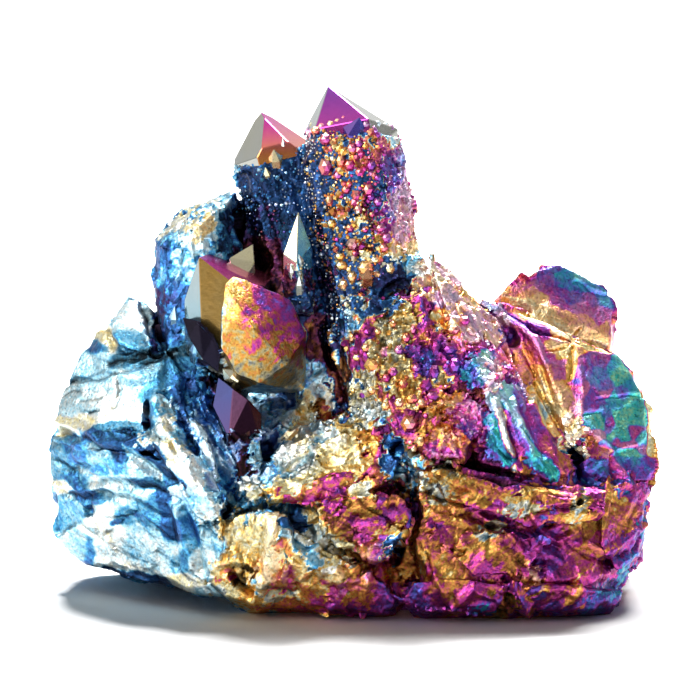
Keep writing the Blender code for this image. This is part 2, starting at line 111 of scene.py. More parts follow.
FILM_ZONES["blue hollow"] = [
    (-22.6, 27.6, 1.6, 1.1, 42, 4, 1, -35), (-24, 25.5, 1.1, 0.8, 52, 5, 46, -40),
    (-22.1, 24.6, 1.1, 2.4, 41, 3, -24, 12), (-18.2, 23.2, 1.2, 2.4, 41, 3, -4, 18),
    (-20.2, 21.9, 1.1, 2.4, 48, 4, 41, 14), (-21, 19.9, 0.5, 2.4, 40, 2, -34, 18),
    (-16.9, 19.9, 1.2, 2.1, 44, 3, 26, 30), (-17.3, 16.6, 1.3, 1.9, 47, 5, 46, 25),
    (-16, 13.9, 0.7, 1.3, 40, 3, -14), (-16.2, 11.2, 0.7, 1.9, 40, 3, -49, -8),
    (-19.2, 17.9, 0.9, 1.9, 52, 5, 46, 25),
]
FILM_ZONES["left block"] = [
    (-22.6, 49.9, 2.9, 0.7, 61, 3, -15, 36), (-18.6, 52.2, 1.9, 0.5, 59, 3, -20, 33),
    (-19.6, 48.2, 1.6, 0.9, 64.5, 1, 25, 40), (-16.9, 51.3, 0.9, 1.1, 52, 5, -20),
    (-17.3, 48.6, 0.5, 2.1, 48, 5, -25, -5), (-20.2, 45.9, 1.6, 1.1, 54, 4, 25),
    (-22.1, 43.7, 1.3, 1.6, 51, 5, 20), (-24.2, 41.9, 1.3, 1.6, 48, 7, 5), (-25, 44.2, 1.1, 1.3, 44, 5, -15),
    (-18.9, 44.2, 1.1, 1.3, 46, 6, -20), (-23.4, 38.6, 1.3, 1.6, 44, 7, -10),
    (-24.5, 35.3, 1.3, 1.9, 43, 6, -20), (-25.4, 35.9, 0.5, 2.7, 32, 3, -50),
    (-16.5, 48.6, 0.7, 2.9, 41, 4, -70),
]
# The twin's lower zones are painted dark: painted shade in the crevice between the twin and the tower.
FILM_ZONES["twin"] = [
    (-10.2, 54.6, 1.9, 1.3, 41, 3, -34), (-8.5, 56, 1.3, 1.3, 43, 5, -9, 40),
    (-13.6, 52.6, 1.6, 1.3, 40, 3, -39), (-8.2, 54.2, 0.8, 0.5, 47, 2, 26), (-8.5, 51, 0.9, 1.1, 43, 2, 16),
    (-12.9, 48.6, 1.9, 1.3, 31, 4, -49), (-10.2, 47.9, 2.1, 1.6, 26, 4, -54),
    (-12, 43.9, 1.9, 2.1, 23, 3, -59, 10), (-8.2, 47.3, 1.1, 1.9, 41, 4, -34),
    (-8.9, 39.9, 1.2, 1.6, 23, 4, -54, 20), (-3.5, 40.6, 1.1, 1.9, 25, 4, -49, 10),
    (-6.9, 37.3, 1.3, 1.9, 36, 6, -34, 20), (-4.5, 34.6, 1.3, 2.7, 23, 4, -49, 15),
    (-1.8, 27.9, 0.8, 2.9, 19, 3, -54, 10), (-6.9, 38.6, 0.8, 0.7, 44, 3, 26),
    (-5.8, 35.3, 0.8, 0.8, 21, 10, -4),
]
FILM_ZONES["tower, left face"] = [
    (-6.1, 59.3, 0.8, 1.2, 48, 7, 66, 10), (-5.8, 52.6, 0.9, 1.9, 43, 8, 56, 8),
    (-4.5, 44.6, 0.9, 1.6, 44, 8, 56, 10), (-3.1, 38.6, 0.8, 1.6, 42, 5, 36, 8),
    (-2.3, 35.3, 0.8, 2.1, 40, 5, 26, 8),
]
FILM_ZONES["tower, front"] = [
    (-2.9, 59.7, 1.3, 0.8, 70, 6, -5), (-1.8, 58, 1.6, 1.1, 66, 6, -20), (2.7, 59.3, 1.2, 1.2, 74, 5, -10),
    (0.9, 55.3, 1.9, 1.2, 73, 5, -5), (-2.9, 55.3, 1.1, 1.3, 69, 5, 0), (-0.9, 52.6, 1.6, 1.2, 69, 5, -20),
    (0.1, 47.9, 1.9, 1.2, 66, 4, -15), (4.5, 45.3, 1.1, 1.3, 70, 5, -5), (0.1, 42.9, 1.6, 1.2, 64, 4, -20),
    (-1.3, 40.6, 0.8, 1.9, 66, 3, 5), (1.8, 41.9, 1.3, 0.9, 68, 3, 10), (5.4, 43.7, 0.8, 0.7, 62, 3, 30),
    (-0.2, 38.6, 1.1, 1.3, 60, 5, -25), (-0.9, 35.9, 1.1, 1.1, 50, 6, -30),
]
FILM_ZONES["tower, right face"] = [
    (5.4, 60, 1.1, 1.1, 50, 9, 16), (6.7, 58, 0.9, 1.2, 84, 8, 36), (7.4, 55.3, 0.8, 1.6, 80, 8, 46),
    (6.9, 52.2, 1.1, 1.6, 78, 6, 61), (5.4, 49.9, 0.9, 1.3, 82, 7, 46), (4.9, 47.7, 0.8, 1.2, 80, 6, 16),
    (6.7, 48.2, 1.1, 1.3, 76, 5, 56), (6.2, 45.9, 1.1, 0.8, 70, 4, 51), (7.8, 45.3, 1.1, 0.8, 64, 4, 36),
]
FILM_ZONES["dark ledge"] = [
    (-2.3, 32.2, 0.8, 2.1, 31, 3, -82), (5.4, 41.3, 1.9, 1.1, 33, 3, -57, 35),
    (7.1, 42.9, 1.1, 0.7, 40, 6, -22, 35), (3.8, 37.9, 1.6, 0.9, 40, 5, -42, 35),
    (8.6, 43.7, 1.1, 0.8, 50, 6, -12, 30),
]
FILM_ZONES["slope"] = [
    (9.7, 42.6, 0.9, 1.3, 60, 8, 66, 40), (11.8, 41, 1.2, 1.6, 73, 9, 61, 40),
    (10.5, 39.9, 1.2, 1.3, 66, 8, 46), (12, 38.6, 1.1, 1.1, 80, 8, 66),
    (15.3, 37.9, 1.2, 0.9, 72, 9, 51, -10), (18.8, 37.3, 1.1, 0.9, 84, 8, 46, -30),
    (19.8, 35.7, 1.2, 0.9, 80, 9, 66, -40), (12.2, 35.9, 1.2, 1.1, 67, 8, 16),
    (15.8, 35.3, 1.6, 1.2, 78, 9, 66, -40), (19.8, 33.3, 1.1, 1.2, 74, 9, 56, -50),
    (13.8, 32.6, 1.1, 0.8, 79, 6, 21, -10), (16.5, 29.9, 0.9, 1.2, 93, 9, 66, -60),
    (18.5, 28.6, 1.2, 1.2, 79, 9, 66, -60), (22.9, 26.6, 0.8, 1.1, 83, 10, 56, -50),
]
FILM_ZONES["slope foot"] = [
    (7.1, 35.3, 1.3, 1.6, 65, 5, -23), (8.9, 35.3, 0.5, 2.7, 80, 5, 7, -3),
    (10.2, 29.5, 0.7, 1.3, 87, 3, -13, 10), (4.5, 32.6, 1.3, 1.9, 64, 5, -33),
    (10.8, 33.9, 0.9, 1.3, 75, 5, -8), (12.8, 30.6, 1.1, 1.3, 82, 4, -8), (15.3, 29.2, 0.8, 1.1, 90, 5, 7),
    (11.6, 28.6, 0.8, 1.2, 66, 4, 12, -10), (5.8, 29.2, 1.6, 1.3, 67, 5, -18),
    (7.8, 26.3, 1.6, 1.2, 66, 5, -8), (1.1, 27.2, 1.3, 1.6, 63, 6, -33),
    (10.5, 26.3, 1.2, 0.9, 76, 6, 2, 30), (11.8, 25, 1.6, 1.1, 70, 5, 22), (1.8, 23.9, 1.6, 1.1, 60, 5, -23),
    (15.2, 23.9, 1.3, 1.2, 79, 5, 27), (16.5, 21.9, 1.3, 1.3, 82, 5, 12), (11.8, 20.6, 1.6, 0.9, 71, 6, 22),
    (10.8, 19.1, 1.9, 0.7, 78, 4, 17, -5), (18.1, 21.9, 0.8, 1.3, 92, 4, 17, 10),
]
FILM_ZONES["slope streaks"] = [
    (19.2, 25, 0.8, 1.1, 92, 3, 57, 25), (19.8, 22.6, 0.5, 2.7, 55, 2, 62, 16),
    (20.5, 25.2, 0.8, 1.2, 93, 4, 37, 25), (20.8, 21.9, 0.5, 2.7, 82, 3, -8, 18),
    (21.4, 23.2, 0.5, 2.7, 93, 4, 42, 22), (22.2, 24.6, 0.8, 1.3, 84, 5, 17, 30),
    (20.5, 19.2, 0.5, 1.9, 55, 3, 57, 18), (22.2, 21, 0.5, 2.4, 84, 4, -8, 22),
    (21.4, 18.8, 0.5, 1.6, 81, 3, -18, 20), (23.2, 19.9, 0.5, 2.4, 93, 4, 27, 25),
    (23.8, 23.2, 0.8, 1.6, 80, 5, 7, 20), (24.5, 21.2, 0.7, 2.1, 82, 5, 2, 20),
    (19.2, 19.9, 0.8, 1.9, 95, 3, -8, 12), (20.1, 17.8, 1.2, 0.8, 96, 2, -13, -20),
    (24.2, 17.9, 1.1, 1.2, 94, 3, 2, 30), (25.8, 16.6, 1.3, 0.8, 96, 2, -18, -35),
    (25.2, 19.9, 0.7, 2.1, 74, 5, -23, 18), (26.2, 18.6, 0.5, 2.1, 78, 5, -28, 20),
    (27.3, 17, 0.7, 1.6, 72, 5, -28, 18), (18.5, 17.9, 1.1, 0.8, 88, 5, -28),
]
# The slope's base is painted near black: a painted shadow under the slope.
FILM_ZONES["slope base"] = [
    (9.1, 17.9, 1.9, 0.4, 62, 3, -95, -20), (12.5, 17.5, 1.9, 0.5, 74, 4, -95, -10),
    (18.5, 16.6, 1.9, 0.9, 80, 4, -77, -20), (21.4, 17, 0.7, 0.5, 93, 2, -47, -40),
    (23.2, 16.6, 0.5, 1.2, 70, 3, -42, 35), (15.6, 16.2, 0.5, 1.6, 72, 5, -52, 35),
    (24.5, 15.6, 1.2, 0.8, 84, 5, -57, -20),
]
FILM_ZONES["right plate"] = [
    (21.2, 36.2, 1.9, 0.7, 84, 4, 2, -28), (24.5, 34.6, 2.1, 0.5, 83, 4, -23, -25),
    (27.8, 33.3, 2.1, 0.4, 72, 4, 32, -18), (31.9, 32.2, 2.4, 0.4, 63, 3, -3, -10),
    (20.5, 34.3, 0.9, 1.1, 87, 5, 7, -50), (22.5, 33.9, 1.3, 1.2, 80, 4, 12, -40),
    (24.1, 33, 1.1, 1.2, 78, 4, 12, -50), (21.4, 32.2, 0.9, 1.6, 76, 5, 17, -60),
    (23.3, 30.9, 1.2, 1.3, 75, 5, 12, -50), (25.2, 31.3, 1.1, 1.6, 79, 4, 17, -50),
    (26.5, 32.6, 0.9, 0.9, 68, 3, 27), (28.1, 31.7, 0.8, 0.9, 66, 3, 12), (29.4, 31.9, 0.9, 0.9, 70, 4, 17),
    (28.9, 29.5, 0.7, 1.3, 68, 3, 7, -5), (27.3, 29.2, 0.9, 1.3, 79, 4, 22, -20),
    (25.8, 29, 0.9, 0.9, 74, 5, 12, -40), (24.1, 28.6, 1.2, 0.9, 71, 4, 12, -50),
    (24.9, 26.8, 1.2, 0.9, 67, 3, 22, -40), (27.3, 27.2, 0.8, 0.9, 72, 5, 22),
    (26.5, 25.2, 0.8, 1.3, 66, 3, 22, -10), (28.5, 25.9, 0.9, 1.2, 70, 4, 27, -30),
    (24.2, 25.5, 0.7, 1.1, 60, 5, -28, -20), (25.3, 23.6, 0.8, 1.2, 55, 5, -18, -20),
    (27.2, 22.6, 1.2, 1.1, 66, 3, 22), (29.4, 24.6, 0.8, 0.9, 75, 4, 27, -30),
    (29.7, 26.6, 1.1, 1.2, 80, 4, 17), (30.5, 29, 1.1, 1.3, 83, 4, 12), (32.9, 30.3, 1.1, 0.9, 80, 4, 12),
    (32.5, 28.6, 1.2, 1.1, 87, 3, 12), (30.8, 26.8, 0.5, 0.9, 77, 2, 17), (29.8, 27.6, 0.7, 1.1, 91, 3, 12),
    (33.2, 27.2, 1.1, 0.8, 84, 4, 12), (33.5, 26.2, 0.8, 0.5, 77, 2, 17), (34.8, 29.9, 0.8, 1.2, 93, 3, 12),
    (35.6, 30.9, 0.9, 0.8, 95, 3, 12, -20), (35.6, 28.6, 1.1, 1.3, 97, 2, 12),
    (36.7, 27.2, 0.9, 1.1, 94, 4, 7, -20), (35.9, 26.3, 0.8, 0.8, 87, 4, 12),
    (34.8, 25.2, 1.2, 0.9, 93, 4, 7), (32.1, 25, 1.1, 1.1, 86, 5, 7), (33.2, 23.9, 1.1, 0.7, 92, 4, 12),
    (37.2, 25.2, 1.1, 1.1, 97, 2, 12), (35.9, 23.6, 1.2, 0.9, 98, 2, 12), (32.1, 22.8, 1.1, 0.7, 96, 3, 12),
    (34.1, 22.3, 0.7, 0.9, 83, 4, 12), (35.3, 21.2, 1.2, 1.1, 97, 2, 12), (37.9, 22.8, 1.1, 1.2, 97, 2, 12),
    (34.5, 22.8, 0.4, 0.7, 80, 3, 12), (37.5, 21.2, 1.1, 0.8, 80, 4, 12), (38.5, 19.9, 0.8, 1.1, 96, 3, 12),
    (35.9, 19.4, 1.6, 0.4, 78, 3, 17, -8), (38.5, 18.8, 0.7, 0.7, 80, 4, 22),
    (34.8, 20.3, 0.5, 0.5, 80, 3, 12), (36.9, 18.3, 1.6, 0.5, 96, 2, 12, -10),
    (34.5, 18.8, 1.1, 0.7, 94, 3, 12, -20), (39.2, 24.6, 0.4, 2.4, 60, 5, 2, 10),
    (38.3, 27.2, 0.4, 1.9, 58, 5, 12, 25), (39.6, 19.9, 0.4, 1.6, 62, 5, 7),
    (32.1, 20.7, 0.7, 0.5, 76.5, 1, 37, -20), (33.7, 18.3, 0.8, 0.8, 76, 4, 22, -30),
    (31.2, 19.2, 0.7, 1.2, 74, 6, -28, 20), (36.5, 17, 1.6, 0.8, 88, 5, 7, -10),
    (34.8, 16.2, 0.7, 1.6, 77, 5, 7, 30), (38.5, 16.6, 1.1, 1.1, 84, 5, 2), (39.9, 21.9, 0.4, 2.7, 66, 6, 2),
]
FILM_ZONES["cream druse"] = [
    (29.4, 21.9, 1.1, 0.9, 63.5, 2, 75), (30.5, 19.1, 0.8, 0.8, 67, 3, 50),
    (28.5, 19.9, 0.8, 0.8, 60, 4, 40), (29.2, 18.6, 1.2, 0.7, 42, 4, -35),
]
FILM_ZONES["back lobe"] = [
    (20.2, 39.1, 1.3, 0.8, 71, 4, 21, 25), (21.4, 38.2, 1.3, 0.8, 67, 2, 31),
    (23.2, 37.5, 1.2, 1.1, 66, 2, 31, -10), (25.2, 38.3, 1.2, 1.2, 68, 2, 31, -20),
    (22.5, 39.9, 1.6, 0.5, 76, 4, 16, 20), (25.8, 36.2, 1.6, 0.9, 66, 2, 26, -22),
    (23.8, 39.5, 1.2, 0.7, 72, 3, 21), (27.8, 35, 1.6, 0.8, 65, 2, 31, -20),
    (28.5, 36.6, 1.9, 0.7, 69, 3, 21, -28), (30.5, 34.3, 1.6, 0.8, 67, 2, 26, -20),
    (33.2, 33, 1.2, 0.8, 66, 2, 21, -10), (31.2, 35.7, 1.6, 0.7, 71, 3, 21, -20),
    (33.7, 34.6, 0.8, 1.2, 70, 4, 21, -10), (25.6, 39.9, 1.2, 0.8, 80, 3, 16, -15),
    (27.8, 38.2, 1.6, 0.8, 80, 2, 16, -25), (30.5, 37.3, 1.6, 0.8, 78, 3, 21, -18),
    (33.2, 36.6, 0.9, 1.1, 78, 4, 16), (26.5, 41.3, 1.2, 0.8, 84, 4, 11),
    (28.2, 39.5, 1.3, 0.7, 83, 3, 11, -15), (29.8, 38.6, 1.3, 0.7, 84, 3, 11, -15),
    (32.1, 38.3, 1.2, 0.8, 83, 4, 16, -10), (26.9, 42.6, 1.1, 0.5, 86, 4, 6),
    (28.1, 41.9, 1.2, 0.7, 92, 3, 6), (29.2, 40.6, 1.3, 0.5, 90, 3, 6, -10),
    (30.5, 41.9, 0.9, 0.5, 93, 4, 16, -30), (31.2, 39.9, 1.2, 0.5, 91, 3, 6, -20),
    (33.7, 38.6, 0.8, 1.1, 90, 3, 11), (30.3, 39.8, 0.5, 0.4, 88, 3, -14, -20),
    (34.7, 33.9, 0.4, 1.9, 76, 6, 16),
]
FILM_ZONES["right mass"] = [
    (9.8, 16.2, 1.1, 0.5, 71.2, 4, -14, -15), (12.1, 16.8, 1.6, 0.7, 60, 4, -69, -12),
    (13.8, 15.9, 1.6, 0.5, 67.7, 5, -64, -18), (10.8, 14.8, 1.6, 0.7, 68.2, 3, -34, -10),
    (13.2, 14.3, 1.3, 0.5, 71.2, 4, -29, -20), (15.6, 14.2, 1.2, 0.5, 67.7, 3, -24, -25),
    (11.8, 13.2, 1.3, 0.8, 60, 5, -64), (8.5, 13.2, 0.8, 1.3, 69.2, 6, -34),
    (13.8, 11.9, 1.2, 0.9, 68.2, 5, -34), (11.8, 10.6, 1.6, 0.9, 69.2, 5, -29),
    (16.9, 12.6, 1.3, 0.7, 68.2, 4, -34, -10), (18.5, 13.9, 1.6, 0.5, 75.2, 4, -44, -10),
    (17.4, 11.2, 1.6, 0.9, 79, 3, -29, -20), (15.8, 9.9, 1.1, 0.5, 76.5, 5, -44, -20),
    (18.2, 8.4, 1.6, 0.5, 60, 5, -59, -10), (21.2, 12.6, 1.6, 0.7, 69.2, 5, -44),
    (25.2, 13.6, 1.6, 0.8, 69.2, 4, -29), (22.5, 11, 1.9, 0.4, 60, 5, -44, 12),
    (27.6, 13.2, 1.1, 1.1, 76, 5, -24), (29.8, 12.3, 0.7, 0.7, 60, 5, -74),
    (28.5, 10.8, 1.9, 0.7, 67.7, 4, -29, 8), (25.8, 10.3, 1.6, 0.7, 72.5, 4, -29),
    (23.2, 9.2, 1.3, 0.7, 76.5, 4, -24, -10), (25.2, 8.9, 1.1, 0.9, 86, 5, -19, -30),
    (26.5, 7.9, 1.2, 0.8, 80, 4, -14, -30), (27.8, 9.2, 1.1, 0.8, 76, 5, -24),
    (30.3, 15.9, 1.1, 1.6, 88, 4, -24, -35), (33.2, 16.6, 0.8, 1.1, 88, 4, -24, -30),
    (31.2, 13.2, 1.1, 0.7, 78, 5, -24), (33.7, 13.9, 0.5, 1.6, 69.2, 4, -24, -15),
    (34.8, 13, 0.5, 1.2, 67.7, 6, -4, -10), (35.6, 14.6, 0.8, 1.2, 90, 5, -24, -30),
    (36.9, 14.6, 0.8, 1.2, 75.2, 5, -24, -30), (38.3, 12.6, 0.8, 1.1, 79, 5, -24, -20),
    (35.6, 9.9, 1.2, 1.2, 72.5, 4, -29), (33.2, 9.9, 1.2, 1.2, 71.5, 4, -34),
    (30.5, 9.2, 1.2, 1.1, 71, 6, -39), (29.8, 10.3, 0.8, 0.7, 60, 6, -39),
    (37.2, 10.3, 0.8, 1.2, 76.5, 5, -24), (38.8, 11.2, 0.5, 1.3, 90, 5, -24),
    (38.9, 8.5, 0.5, 1.6, 94, 5, -24), (33.2, 7.6, 1.6, 0.7, 78, 4, -24, -5),
    (33.9, 5.9, 1.6, 0.4, 70.5, 3, -19, 18), (31.9, 6.5, 1.2, 0.5, 84, 5, -24, -10),
    (36.9, 6.8, 1.2, 0.8, 84, 5, -24), (35.2, 5.2, 1.6, 0.8, 82, 4, -14, 15),
    (30.5, 5.9, 1.1, 1.1, 76.5, 6, -24), (28.5, 6.5, 0.9, 1.1, 78.5, 5, -29),
    (14.5, 7.9, 1.6, 1.1, 73.5, 6, -34), (11.8, 7.9, 1.3, 1.1, 76.5, 6, -29),
    (16.5, 5.9, 1.2, 0.8, 75, 6, -34), (19.8, 7.2, 1.2, 0.8, 76.5, 6, -39),
    (18.8, 5.5, 1.2, 0.9, 72.5, 5, -39), (20.5, 4.4, 1.6, 0.9, 71, 3, -49, -25),
    (23.8, 2.5, 0.5, 0.8, 71, 3, 36), (26.2, 5.5, 1.6, 1.2, 82, 3, -24), (27.8, 3.2, 1.3, 1.6, 80, 5, -29),
    (16.5, 3.9, 1.6, 1.2, 79, 5, -29), (19.2, 2.5, 1.3, 0.8, 78, 5, -24),
    (13.8, 3.6, 1.2, 1.2, 76.5, 7, -29), (11.2, 3.9, 0.9, 1.3, 76.5, 7, -24),
    (7.8, 4.5, 1.1, 0.8, 71.5, 4, -14), (8.5, 2.3, 0.8, 0.9, 71, 4, -4), (7.1, 5.5, 0.8, 0.5, 78.5, 6, -34),
    (12.5, 1.9, 0.8, 1.9, 72.5, 6, -24), (10.5, 1.2, 0.9, 1.9, 80, 6, -19, 15),
    (9.1, -0.4, 1.2, 1.1, 86, 5, -19), (11.8, -1.5, 1.6, 0.7, 83, 6, -24),
    (15.2, 1.9, 1.3, 0.5, 74.5, 5, -14, 20), (15.6, 0.1, 1.6, 0.8, 79, 3, -4, 10),
    (17.2, -0.8, 1.2, 0.8, 84, 5, -4), (17.4, -2, 1.1, 0.5, 94, 3, -14), (14.5, -1.5, 1.2, 0.7, 80, 6, -24),
    (19.6, -1.5, 0.8, 1.2, 71, 5, -59), (21.4, -0.1, 0.4, 1.9, 84, 3, -9, 20),
    (22.1, -1.2, 0.4, 1.9, 80, 3, -4, 22), (23, -1.2, 0.4, 2, 71.5, 3, -19, 25),
    (23.6, -2.3, 0.5, 0.8, 76, 5, -24, 20), (21.2, -2.8, 0.8, 0.5, 84, 5, -34),
    (24.5, -0.1, 1.1, 0.7, 84, 6, -19), (26.5, 0.1, 1.2, 1.1, 80, 5, -24),
    (26.2, -1.7, 1.3, 0.8, 87, 5, -29), (29.2, -0.1, 0.8, 1.2, 76, 6, -14), (29.2, 1.9, 0.8, 0.9, 71, 8, -9),
    (31.9, 3.9, 1.2, 1.1, 76, 5, -19), (33.2, 2.3, 1.6, 0.7, 78.5, 2, -4, 15),
    (30.5, 1.2, 0.8, 0.8, 80, 5, -14), (36.9, 4.5, 0.9, 0.8, 90, 5, -24), (35.9, 2.3, 1.2, 0.8, 94, 4, -29),
    (33.9, 0.5, 1.3, 0.9, 90, 5, -29), (31.9, -0.8, 1.3, 1.1, 88, 5, -29), (35.9, 0.1, 1.2, 1.1, 92, 6, -34),
    (34.8, -1.5, 1.3, 0.8, 86, 6, -34), (31.2, -2.5, 1.6, 0.5, 90, 5, -34),
    (36.5, -1.5, 0.7, 0.8, 78, 6, -29), (27.8, -2.5, 1.3, 0.5, 84, 6, -34),
    (37.9, 3.9, 0.5, 0.8, 80, 6, -24),
]
FILM_ZONES["dark cleft"] = [
    (5.9, 19.9, 0.8, 1.1, 41, 3, -22), (5.4, 17.2, 1.1, 1.1, 42, 5, -2), (7.5, 16.2, 1.3, 1.6, 50, 8, 23),
    (9.1, 15.2, 1.1, 1.1, 56, 8, 33), (5.9, 5.9, 0.8, 1.3, 41, 3, -24, -10),
]
FILM_ZONES["gold ridge"] = [
    (-1.5, 19.2, 1.6, 1.1, 62, 2, 24, 20), (2.5, 20.2, 1.2, 1.1, 67, 2, -1),
    (3.5, 18.8, 0.5, 1.9, 77, 3, -11, -8), (-0.9, 17.2, 1.6, 1.1, 64, 2, 4, 15),
    (-2.6, 14.3, 1.6, 0.5, 79, 4, -1, 20), (-7.5, 14.6, 1.6, 0.8, 63, 4, 4, 10),
    (-4.9, 13.5, 1.6, 0.5, 74, 4, -1, 10), (-7.5, 12.6, 1.9, 0.4, 78, 3, -6, -8),
    (-10.2, 13, 1.2, 0.5, 68, 3, -11, -10), (2.7, 15.9, 0.8, 1.3, 72, 5, -6, -10),
    (-1.8, 11.9, 1.2, 0.8, 81, 4, -16, 20), (1.8, 13.9, 1.1, 0.8, 62, 5, 4),
]
FILM_ZONES["centre rock"] = [
    (-8.9, 25.2, 1.3, 1.9, 41, 3, 25, 10), (-8.2, 23.6, 1.2, 1.1, 50, 5, 70, 30),
    (-6.9, 24.2, 0.8, 1.3, 64.5, 2, 25, -20), (-4.5, 27.2, 1.2, 1.6, 50, 6, 35, 10),
    (-3.1, 25.9, 0.9, 1.6, 60, 5, 40, 10), (-6.2, 28.2, 0.9, 1.1, 42, 5, 20),
    (-11.6, 21.9, 0.8, 1.3, 46, 6, 50), (-10.6, 19.9, 1.2, 0.9, 40, 5, 10),
    (-8.9, 19.2, 0.9, 0.8, 57, 4, 100, 20), (-7.1, 19.9, 0.9, 1.2, 64.5, 2, 35, -20),
    (-5.8, 21.5, 0.9, 1.1, 62, 5, 60), (-4.5, 21.2, 1.1, 0.8, 52, 6, 40),
    (-7.5, 17.9, 1.6, 0.7, 60, 6, 40, 20), (-11.6, 15.9, 1.2, 0.8, 48, 6, 35),
    (-1.5, 24.6, 0.5, 1.1, 41, 5, 10),
]
FILM_ZONES["cream lip"] = [
    (-13.6, 14.8, 1.1, 0.8, 57, 5, 22, 30), (-12.9, 12.6, 1.1, 0.8, 62, 5, -3),
    (-11.2, 11.2, 0.9, 0.7, 60, 4, 27, -30),
]
FILM_ZONES["grey hollow"] = [
    (-9.5, 11.6, 1.9, 0.5, 44, 4, -21, -10), (-6.9, 9.5, 1.2, 0.8, 40, 4, -46),
    (-4.5, 7.9, 0.8, 1.9, 58, 4, -21), (-4.9, 5.5, 1.2, 1.2, 47, 5, -11, -20),
    (-2.9, 5.9, 1.3, 0.9, 62, 4, -16, -10), (-0.9, 4.1, 1.2, 0.4, 58, 3, 84, 5),
    (-4.5, 9.9, 0.7, 1.1, 66, 4, -6),
]
FILM_ZONES["magenta lobe"] = [
    (-1.5, 8.9, 1.2, 0.9, 74, 6, -58, -30), (1.4, 10.6, 1.9, 0.7, 68, 3, -48, -5),
    (1.8, 9.5, 1.6, 0.7, 77.5, 3, -38, -10), (4.9, 10.8, 1.2, 1.1, 81, 3, -48),
    (5.8, 7.9, 1.6, 0.4, 68, 4, -33, 15), (-0.9, 6.5, 1.3, 0.7, 66, 5, -58, -20),
    (7.8, 11.2, 0.4, 1.6, 85, 4, -48), (-2.2, 12.2, 0.9, 0.7, 81, 3, -48),
]
FILM_ZONES["gold foot"] = [
    (-15.6, 9.2, 1.3, 0.9, 66, 3, -8, 20), (-12.2, 8.1, 1.1, 1.1, 66, 3, -13),
    (-14.9, 7.6, 1.3, 0.9, 64, 4, -23), (-13.3, 6.1, 1.3, 0.7, 67, 5, -23, 10),
    (-16.9, 3.9, 1.2, 0.8, 70, 3, 17, 20), (-16, 2.5, 1.1, 0.4, 76, 4, -3, 30),
    (-14.2, 3.9, 1.3, 0.7, 68, 3, -8, 10), (-17.8, 2.3, 0.7, 0.8, 64, 4, 2),
    (-10.2, 8.1, 0.7, 1.9, 65.5, 1, 32, 6), (-10.6, 5.5, 0.8, 1.6, 65, 1, 37),
    (-11.4, 3.2, 0.9, 1.6, 67, 1, 37), (-7.8, 5.5, 0.5, 1.1, 74, 3, 12, 40),
    (-8.3, 3.2, 0.7, 1.1, 77, 3, 12, 10), (-9.5, 1.9, 0.7, 1.1, 72, 3, 17, 10),
    (-7.1, 3.9, 0.7, 1.6, 67, 2, 12, 20), (-8.9, 0.9, 1.6, 0.4, 79, 4, -3, 5),
    (-13.6, 2.8, 0.7, 0.9, 69, 3, -88, 20), (-10.2, -0.1, 2.1, 0.4, 62, 5, -48, 4),
    (-4.5, 2.8, 0.9, 0.9, 74, 5, 7, -20), (-2.9, 2.8, 1.2, 0.7, 67, 2, 17, -20),
    (-3.9, 0.9, 0.9, 0.8, 70, 5, 7), (-2.2, 0.9, 1.1, 0.7, 80, 3, 12, -20), (-5.3, 0.1, 1.1, 0.8, 76, 6, 2),
    (-0.2, 0.9, 1.2, 0.5, 76, 4, 7, 20), (2.2, 1.9, 1.1, 0.7, 75, 5, 7, 40),
    (3.3, 4.5, 0.7, 1.6, 79, 4, 12, -12), (2.2, 5.9, 0.8, 0.8, 74, 5, 12),
    (4.1, 5.9, 0.7, 1.1, 86, 4, 7, -10), (4.3, 2.5, 0.9, 1.6, 80, 6, 2), (3.5, 0.1, 1.3, 1.1, 81, 6, -8),
    (5.8, 1.9, 0.8, 1.2, 72, 7, -3, -10), (5.8, -0.8, 1.3, 1.1, 84, 6, -8), (1.8, -0.4, 1.3, 0.8, 74, 7, -8),
    (-3.9, -1.2, 1.9, 0.5, 81, 6, -8), (-6.9, -1.5, 1.9, 0.5, 78, 6, -3, -4),
    (-6.9, -0.4, 1.3, 0.4, 68, 5, -3), (-10.2, -1.5, 1.6, 0.5, 76, 5, -8, -5),
    (-13.6, -0.1, 1.9, 0.7, 68, 5, -3, -15), (-15.6, 1.2, 1.6, 0.8, 66, 5, 2, -30),
    (-17.3, 0.3, 1.2, 0.7, 67, 5, -13, -20), (-14.2, -1.5, 1.6, 0.5, 67, 5, -23, -10),
    (-12.2, -2.3, 1.6, 0.4, 72, 5, -13, -5), (-0.2, -2, 1.9, 0.5, 82, 6, -18, -2),
    (3.8, -2.3, 1.9, 0.5, 84, 6, -18, -2), (9.1, -2.5, 2.1, 0.5, 84, 6, -18, -2),
    (14.5, -2.8, 2.1, 0.4, 82, 6, -23),
]
FILM_ZONES["mottled point"] = [
    (-14.1, 38.9, 1.2, 2.7, 67.5, 1, -14, -8), (-15.7, 38.6, 0.5, 2.7, 66.5, 1, 4, -4),
    (-10.4, 38.2, 3.2, 0.9, 80, 3, -16, -38), (-7.9, 34.9, 1.2, 1.9, 78, 3, -16, 30),
    (-12.5, 35.7, 1.9, 1.6, 72, 6, -26), (-10.2, 34.6, 1.6, 1.3, 74, 6, -26),
    (-14.5, 32.6, 1.1, 1.9, 68.5, 3, -26), (-11.2, 31.9, 1.9, 1.6, 70.5, 6, -36),
    (-8.5, 31.7, 1.3, 1.3, 68, 5, -51), (-12.9, 29.2, 1.9, 1.2, 63, 3, -56),
    (-9.8, 29.2, 1.6, 1.1, 62, 4, -66), (-13.6, 37, 0.7, 1.1, 77, 4, -26, -20),
]
